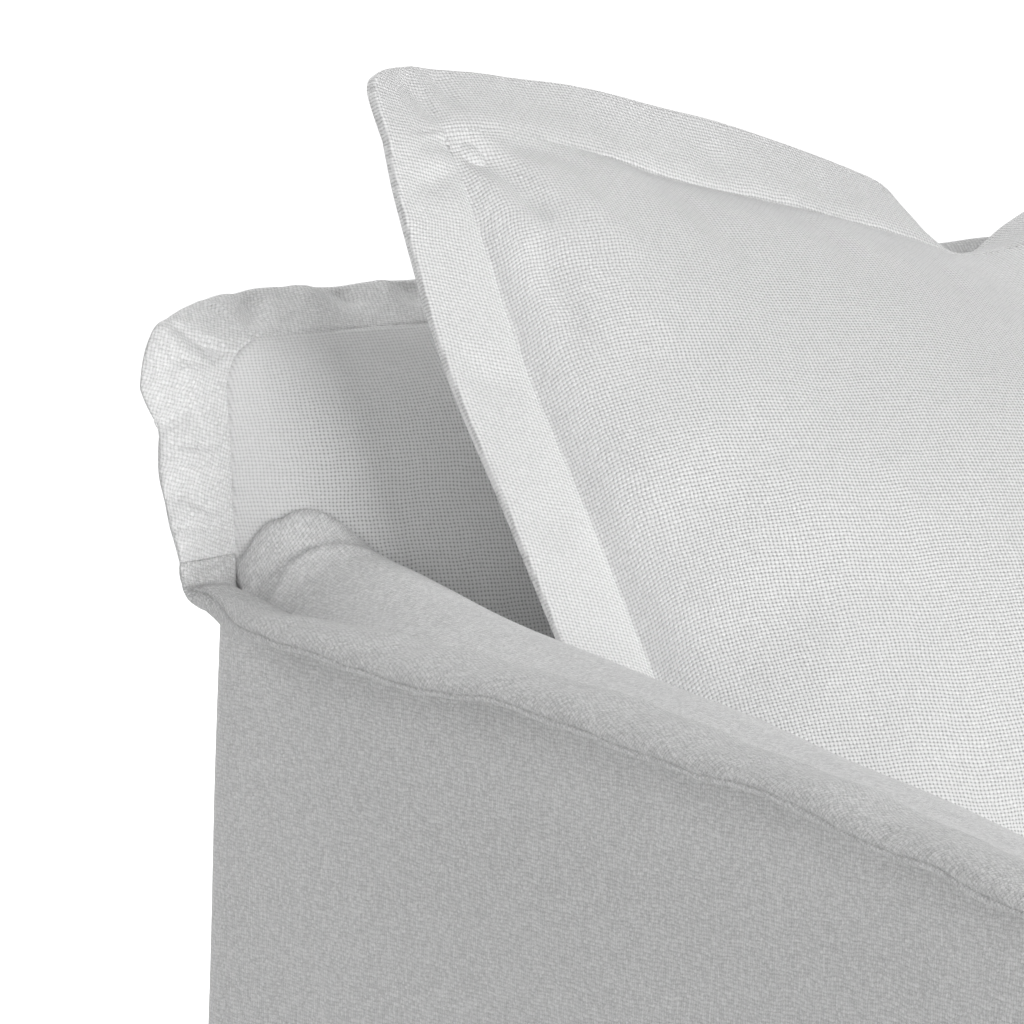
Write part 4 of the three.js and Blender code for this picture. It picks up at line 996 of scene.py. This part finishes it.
def inflate(name, points, faces, pinned):
    """The points swollen by a cloth simulation, with the pinned ones held."""
    mesh = bpy.data.meshes.new(name)
    mesh.from_pydata(placed(points).tolist(), [], np.asarray(faces).tolist())
    body = bpy.data.objects.new(name, mesh)
    bpy.context.scene.collection.objects.link(body)
    body.vertex_groups.new(name="seams").add(np.flatnonzero(pinned).tolist(), 1.0, "REPLACE")
    cloth = body.modifiers.new("cloth", "CLOTH")
    cloth.settings.vertex_group_mass = "seams"
    cloth.settings.use_pressure = True
    cloth.settings.uniform_pressure_force = PRESSURE
    cloth.settings.effector_weights.gravity = 0
    cloth.settings.tension_stiffness = 20
    cloth.settings.bending_stiffness = 2
    cloth.settings.quality = 4
    cloth.point_cache.frame_start = 1
    cloth.point_cache.frame_end = SWELL_FRAMES
    for number in range(1, SWELL_FRAMES + 1):
        bpy.context.scene.frame_set(number)
    shape = body.evaluated_get(bpy.context.evaluated_depsgraph_get()).to_mesh()
    moved = np.zeros(len(mesh.vertices) * 3)
    shape.vertices.foreach_get("co", moved)
    bpy.data.objects.remove(body)
    bpy.context.scene.frame_set(1)
    start = np.asarray(points, float).reshape(-1, 3)
    shift = (moved.reshape(-1, 3) - placed(points)) / MM
    far = np.linalg.norm(shift, axis=1, keepdims=True)
    return start + shift * np.minimum(1, MOST_SWELL / np.maximum(far, 1e-9))


def back_cushion():
    """Filled cushion whose cover runs on past its seams as a doubled flange."""
    body_u = cuts((0, 0.85, 0.024), (0.85, 1, 0.0125))
    edge = 1 + np.array([0.02, 0.05, 0.1, 0.2, 0.35, 0.52, 0.69, 0.82, *CUSHION_LIP["beyond"][1:]])
    body_v = cuts((0, 0.15, 0.015), (0.15, 0.85, 0.018), (0.85, 1, 0.012))
    u, v = np.meshgrid(both_ways(np.concatenate([body_u, edge])),
                       np.concatenate([1 - edge[::-1], body_v, edge]))

    def lipped(a, low, high):
        """The coordinate drawn back where the flange's edge turns in to its seam."""
        inner = np.clip(a, low, high)
        return inner + np.sign(a - inner) * read(CUSHION_LIP, "place", np.abs(a - inner))

    middle, past_seam = cushion_middle(lipped(u, -1, 1), lipped(v, 0, 1))
    normal = normals_of(middle)
    beyond = np.maximum(np.abs(u) - 1, np.maximum(v - 1, -v))
    to_edge = np.clip((1 - beyond) * CUSHION_FLANGE_WIDTH, 0, None)
    soft = 0.5 * ripple(past_seam[..., 0] + 300 * u, past_seam[..., 1] + 230 * v, 60, 61)
    puffed = mix(0.9, CUSHION_LIP["half"][0] + soft, np.clip(beyond * 5, 0, 1) ** 0.6)
    flange = np.where(beyond > 0, np.minimum(read(CUSHION_LIP, "half", beyond), puffed), 0.9)

    marks = line_marks(middle[..., [0, 2]], CUSHION_MARKS) * np.clip(to_edge / 6, 0, 1)
    seam_line = np.exp(-(np.minimum(np.abs(np.abs(u) - 1) * 300, np.abs(v - 1) * 400) / 3) ** 2)

    def skin(depth, sign, fill):
        out = flange + fill * cushion_filling(u, v, depth)
        uneven = (1 - seam_line) * ripple(middle[..., 0], middle[..., 2], 75, 71 + sign)
        bend = marks * np.where(beyond > 0, 1, sign) * (1 - 0.8 * seam_line)
        bend = bend + np.where(beyond > 0, 0, uneven)
        return middle + normal * (sign * out + bend)[..., None]

    def trimmed(points):
        points[..., 2] = np.maximum(points[..., 2], CUSHION_REST)
        most = back_face(points[..., 0], points[..., 2]) - CLOTH - 1.4
        low = points[..., 2] < BACK_TOP + CLOTH
        points[..., 1] = np.where(low, np.minimum(points[..., 1], most), points[..., 1])
        return points

    fill = BEFORE_SWELLING
    front, rear = skin(CUSHION_FRONT, 1, fill), skin(CUSHION_REAR, -1, fill)
    rows, columns = u.shape
    count = rows * columns
    faces, border = joined_skins(rows, columns)
    front[border] = rear[border] = middle[border]
    inner = (np.abs(u) <= 1) & (v >= 0) & (v <= 1)
    seam = inner & ((np.abs(u) == 1) | (v == 0) | (v == 1))
    points = np.concatenate([trimmed(front).reshape(-1, 3), trimmed(rear).reshape(-1, 3)])
    both = np.concatenate([inner.ravel(), inner.ravel()])
    held = np.concatenate([seam.ravel(), seam.ravel()])
    used, kept = in_use(faces[both[faces].all(axis=1)])
    points[used] = inflate("swollen", points[used], kept, held[used])
    points = trimmed(points)
    seam_rows = np.flatnonzero(inner.any(axis=1))[[0, -1]]
    seam_columns = np.flatnonzero(inner.any(axis=0))[[0, -1]]
    row, column = np.indices(u.shape)
    nearest = np.clip(row, *seam_rows), np.clip(column, *seam_columns)
    past_seam[..., 1] -= FLANGE_BIAS * np.abs(past_seam[..., 0])
    flat = np.concatenate([(flat_of(grid, columns // 2, seam_rows[1])[nearest] + past_seam).reshape(-1, 2)
                           for grid in (front, rear)])
    open_weave = np.tile(mix(0.5, 1, np.clip(cushion_filling(u, v, 1) * 3 - 0.6, 0, 1)).ravel(), 2)
    used, faces = in_use(faces)
    piece = new_piece("filled_back_cushion", points[used], faces, flat[used], CUSHION_CLOTH,
                      open_weave[used])
    top, low, left, right = seam_rows[1], seam_rows[0], *seam_columns
    for half, sign in ((points[:count], 1), (points[count:], -1)):
        line, way = (np.concatenate([grid[low, left:right], grid[low:top, right],
                                     grid[top, right:left:-1], grid[top:low:-1, left],
                                     grid[low, left:left + 1]])
                     for grid in (half.reshape(rows, columns, 3), normal))
        STITCH_LINES.append(line + way * (0.25 * sign))
    finish_padded(piece, "back_cushion")


def seat_cushion():
    """Seat cushion: a box of filling with a soft crown."""
    half = INNER - 3
    rear = float(back_face(0, SEAT_HEIGHT)) - 46
    front = FRONT - 14
    bottom = DECK + CLOTH
    middle = (bottom + SEAT_HEIGHT) / 2
    depth = SEAT_HEIGHT - middle
    side = both_ways(cuts((0, 0.9, 0.045), (0.9, 0.985, 0.016), (0.985, 1, 0.004)))
    u, v = np.meshgrid(side, side)
    base = np.stack([half * u, mix(front, rear, (v + 1) / 2), np.full_like(u, middle)], axis=-1)
    rounding = ((1 - np.abs(u) ** 30) * (1 - np.abs(v) ** 30)) ** 0.4
    crown = 11 * (1 - u * u) * (1 - v * v)
    top = base + np.stack([0 * u, 0 * u, depth * rounding + crown], axis=-1)
    under = base - np.stack([0 * u, 0 * u, (depth - SEAM_GAP) * rounding], axis=-1)
    rows, columns = u.shape
    points = np.concatenate([top.reshape(-1, 3), under.reshape(-1, 3)])
    flat = np.concatenate([flat_of(grid, columns // 2).reshape(-1, 2) for grid in (top, under)])
    used, faces = in_use(joined_skins(rows, columns)[0])
    piece = new_piece("filled_seat_cushion", points[used], faces, flat[used], CUSHION_CLOTH)
    finish_padded(piece, "seat_cushion")


# Stitches along the hems and round the cushion

STITCH_SPACING = 3.6
STITCH_SIZE = (1.25, 0.42, 0.34)  # half length, half width, half height


def thread_material():
    """Twisted cotton thread: matt, off white, a little uneven along its length."""
    material = bpy.data.materials.new("cotton sewing thread")
    material.use_nodes = True
    tree = material.node_tree
    tree.nodes.clear()
    place = add(tree, "ShaderNodeTexCoord").outputs["Object"]
    uneven = add(tree, "ShaderNodeTexNoise", {"Vector": place, "Scale": 900.0, "Detail": 2.0}).outputs[0]
    colour = add(tree, "ShaderNodeMix", {"Factor": uneven, 6: linear("#cfcfcf"), 7: linear("#f2f2f2")},
                 data_type="RGBA").outputs[2]
    twist = add(tree, "ShaderNodeBump", {"Strength": 0.6, "Distance": 0.2 * MM, "Height": uneven})
    surface = add(tree, "ShaderNodeBsdfPrincipled", {"Base Color": colour, "Roughness": 0.7, "IOR": 1.5,
                                                     "Normal": twist.outputs[0]})
    add(tree, "ShaderNodeOutputMaterial", {"Surface": surface.outputs[0]})
    return material


def stitch_tree():
    """Node tree that lays small stitches, nose to tail, along the edges of a mesh."""
    tree = bpy.data.node_groups.new("stitches", "GeometryNodeTree")
    tree.interface.new_socket("Lines", in_out="INPUT", socket_type="NodeSocketGeometry")
    tree.interface.new_socket("Spacing", in_out="INPUT", socket_type="NodeSocketFloat")
    tree.interface.new_socket("Half size", in_out="INPUT", socket_type="NodeSocketVector")
    tree.interface.new_socket("Thread", in_out="INPUT", socket_type="NodeSocketMaterial")
    tree.interface.new_socket("Stitches", in_out="OUTPUT", socket_type="NodeSocketGeometry")
    given = add(tree, "NodeGroupInput").outputs
    curve = add(tree, "GeometryNodeMeshToCurve", {"Mesh": given["Lines"]}).outputs[0]
    along = add(tree, "GeometryNodeResampleCurve", {"Curve": curve, "Length": given["Spacing"]},
                mode="LENGTH")
    bead = add(tree, "GeometryNodeMeshUVSphere", {"Segments": 5, "Rings": 3, "Radius": 1.0}).outputs[0]
    tangent = add(tree, "GeometryNodeInputTangent").outputs[0]
    turn = add(tree, "FunctionNodeAlignRotationToVector", {"Vector": tangent}, axis="X").outputs[0]
    uneven = add(tree, "FunctionNodeRandomValue", data_type="FLOAT_VECTOR",
                 inputs={"Min": (0.85, 0.9, 0.85), "Max": (1.0, 1.1, 1.1), "Seed": 4}).outputs[0]
    size = add(tree, "ShaderNodeVectorMath", {0: uneven, 1: given["Half size"]},
               operation="MULTIPLY").outputs[0]
    laid = add(tree, "GeometryNodeInstanceOnPoints", {"Points": along.outputs[0], "Instance": bead,
                                                      "Rotation": turn, "Scale": size}).outputs[0]
    real = add(tree, "GeometryNodeRealizeInstances", {"Geometry": laid}).outputs[0]
    thread = {"Geometry": real, "Material": given["Thread"]}
    done = add(tree, "GeometryNodeSetMaterial", thread).outputs[0]
    add(tree, "NodeGroupOutput", {"Stitches": done})
    return tree


def stitches():
    """All the stitched lines as one piece of small beads of thread."""
    points, edges = [], []
    for line in STITCH_LINES:
        edges += [(len(points) + k, len(points) + k + 1) for k in range(len(line) - 1)]
        points += placed(line).tolist()
    mesh = bpy.data.meshes.new("stitch lines")
    mesh.from_pydata(points, edges, [])
    lines = bpy.data.objects.new("stitch lines", mesh)
    bpy.context.scene.collection.objects.link(lines)
    nodes = lines.modifiers.new("stitches", "NODES")
    nodes.node_group = stitch_tree()
    values = {"Spacing": STITCH_SPACING * MM, "Half size": [half * MM for half in STITCH_SIZE],
              "Thread": thread_material()}
    for item in nodes.node_group.interface.items_tree:
        if item.name in values:
            nodes[item.identifier] = values[item.name]
    evaluated = lines.evaluated_get(bpy.context.evaluated_depsgraph_get())
    mesh = bpy.data.meshes.new_from_object(evaluated)
    piece = bpy.data.objects.new("seam_stitches", mesh)
    bpy.data.objects.remove(lines)
    bpy.context.scene.collection.objects.link(piece)
    mesh.shade_smooth()
    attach(piece, "root")


# Camera, floor and light

CAMERA_AZIMUTH = -32.0
CAMERA_HEIGHT = 8.0  # degrees above level
CAMERA_DISTANCE = 5000.0
PIXEL = 0.48  # millimetres of the object that one pixel of the photograph spans at that distance
PICTURE = 1024
CORNER_POINT = (-SIDE, REAR, 640.0)  # where the arm's seam meets the back
CORNER_PIXEL = (236, 590)  # where the photograph shows it
SENSOR = 36.0

# Studio: azimuth, height and power of each broad light, all of one size and at one distance
LIGHTS = {"key": (13, 4, 228), "front": (-35, 6, 50), "high side": (-96, 22, 44), "rear": (180, 45, 142)}
LIGHT_SIZE = 3.4
LIGHT_DISTANCE = 4.5
LIT_POINT = (0, 0, 0.55)
FLOOR_HALF = 60  # metres
FLOOR_GLOW = 1.1  # makes the floor white where it is looked at, and lights nothing
SURROUND_SEEN = 1.2
SURROUND_LIGHT = 0.05


def way_to(azimuth, height):
    """Direction from the cover to where a camera or light stands."""
    a, h = math.radians(azimuth), math.radians(height)
    return Vector((math.sin(a) * math.cos(h), -math.cos(a) * math.cos(h), math.sin(h)))


def make_camera():
    back = way_to(CAMERA_AZIMUTH, CAMERA_HEIGHT)
    right = way_to(CAMERA_AZIMUTH + 90, 0)
    up = back.cross(right)
    aside = (CORNER_PIXEL[0] - PICTURE / 2) * PIXEL
    above = (PICTURE / 2 - CORNER_PIXEL[1]) * PIXEL
    eye = Vector(CORNER_POINT) + back * CAMERA_DISTANCE - right * aside - up * above
    camera = bpy.data.objects.new("camera", bpy.data.cameras.new("camera"))
    camera.data.sensor_width = SENSOR
    camera.data.lens = SENSOR * CAMERA_DISTANCE / PIXEL / PICTURE
    camera.data.clip_end = 100
    camera.location = eye * MM + SHIFT
    camera.rotation_euler = (-back).to_track_quat("-Z", "Y").to_euler()
    bpy.context.scene.collection.objects.link(camera)
    bpy.context.scene.camera = camera


def area_light(name, azimuth, height, power):
    """A soft square light that looks at the middle of the cover."""
    way = way_to(azimuth, height)
    light = bpy.data.objects.new(name, bpy.data.lights.new(name, "AREA"))
    light.data.size = LIGHT_SIZE
    light.data.energy = power
    light.location = Vector(LIT_POINT) + way * LIGHT_DISTANCE
    light.rotation_euler = way.to_track_quat("Z", "Y").to_euler()
    light.visible_camera = False
    bpy.context.scene.collection.objects.link(light)


def make_studio():
    """A white floor in a white surround, and broad soft lights, the strongest low and from the front."""
    mesh = bpy.data.meshes.new("floor")
    corners = [(x * FLOOR_HALF, y * FLOOR_HALF, 0) for x, y in ((-1, -1), (1, -1), (1, 1), (-1, 1))]
    mesh.from_pydata(corners, [], [(0, 1, 2, 3)])
    floor = bpy.data.objects.new("floor", mesh)
    bpy.context.scene.collection.objects.link(floor)
    paint = bpy.data.materials.new("white studio floor")
    paint.use_nodes = True
    tree = paint.node_tree
    tree.nodes.clear()
    seen = add(tree, "ShaderNodeLightPath").outputs["Is Camera Ray"]
    glow = add(tree, "ShaderNodeMath", {0: seen, 1: FLOOR_GLOW}, operation="MULTIPLY").outputs[0]
    surface = add(tree, "ShaderNodeBsdfPrincipled", {
        "Base Color": linear("#f2f2f2"), "Roughness": 0.9,
        "Emission Color": linear("#ffffff"), "Emission Strength": glow,
    })
    add(tree, "ShaderNodeOutputMaterial", {"Surface": surface.outputs[0]})
    mesh.materials.append(paint)

    world = bpy.data.worlds.new("studio")
    world.use_nodes = True
    tree = world.node_tree
    tree.nodes.clear()
    seen = add(tree, "ShaderNodeLightPath").outputs["Is Camera Ray"]
    strength = add(tree, "ShaderNodeMapRange", {0: seen, 3: SURROUND_LIGHT, 4: SURROUND_SEEN}).outputs[0]
    sky = add(tree, "ShaderNodeBackground", {"Color": linear("#ffffff"), "Strength": strength})
    add(tree, "ShaderNodeOutputWorld", {"Surface": sky.outputs[0]})
    bpy.context.scene.world = world
    bpy.context.scene.view_settings.view_transform = "Standard"
    for name, placing in LIGHTS.items():
        area_light(name, *placing)


make_camera()
make_studio()
for side in ("left", "right"):
    inside_arm(side)
    outside_arm(side)
    arm_front(side)
    flange_arm(side)
outside_back()
inside_back()
front_apron()
seat_deck()
flange_back()
back_cushion()
seat_cushion()
stitches()
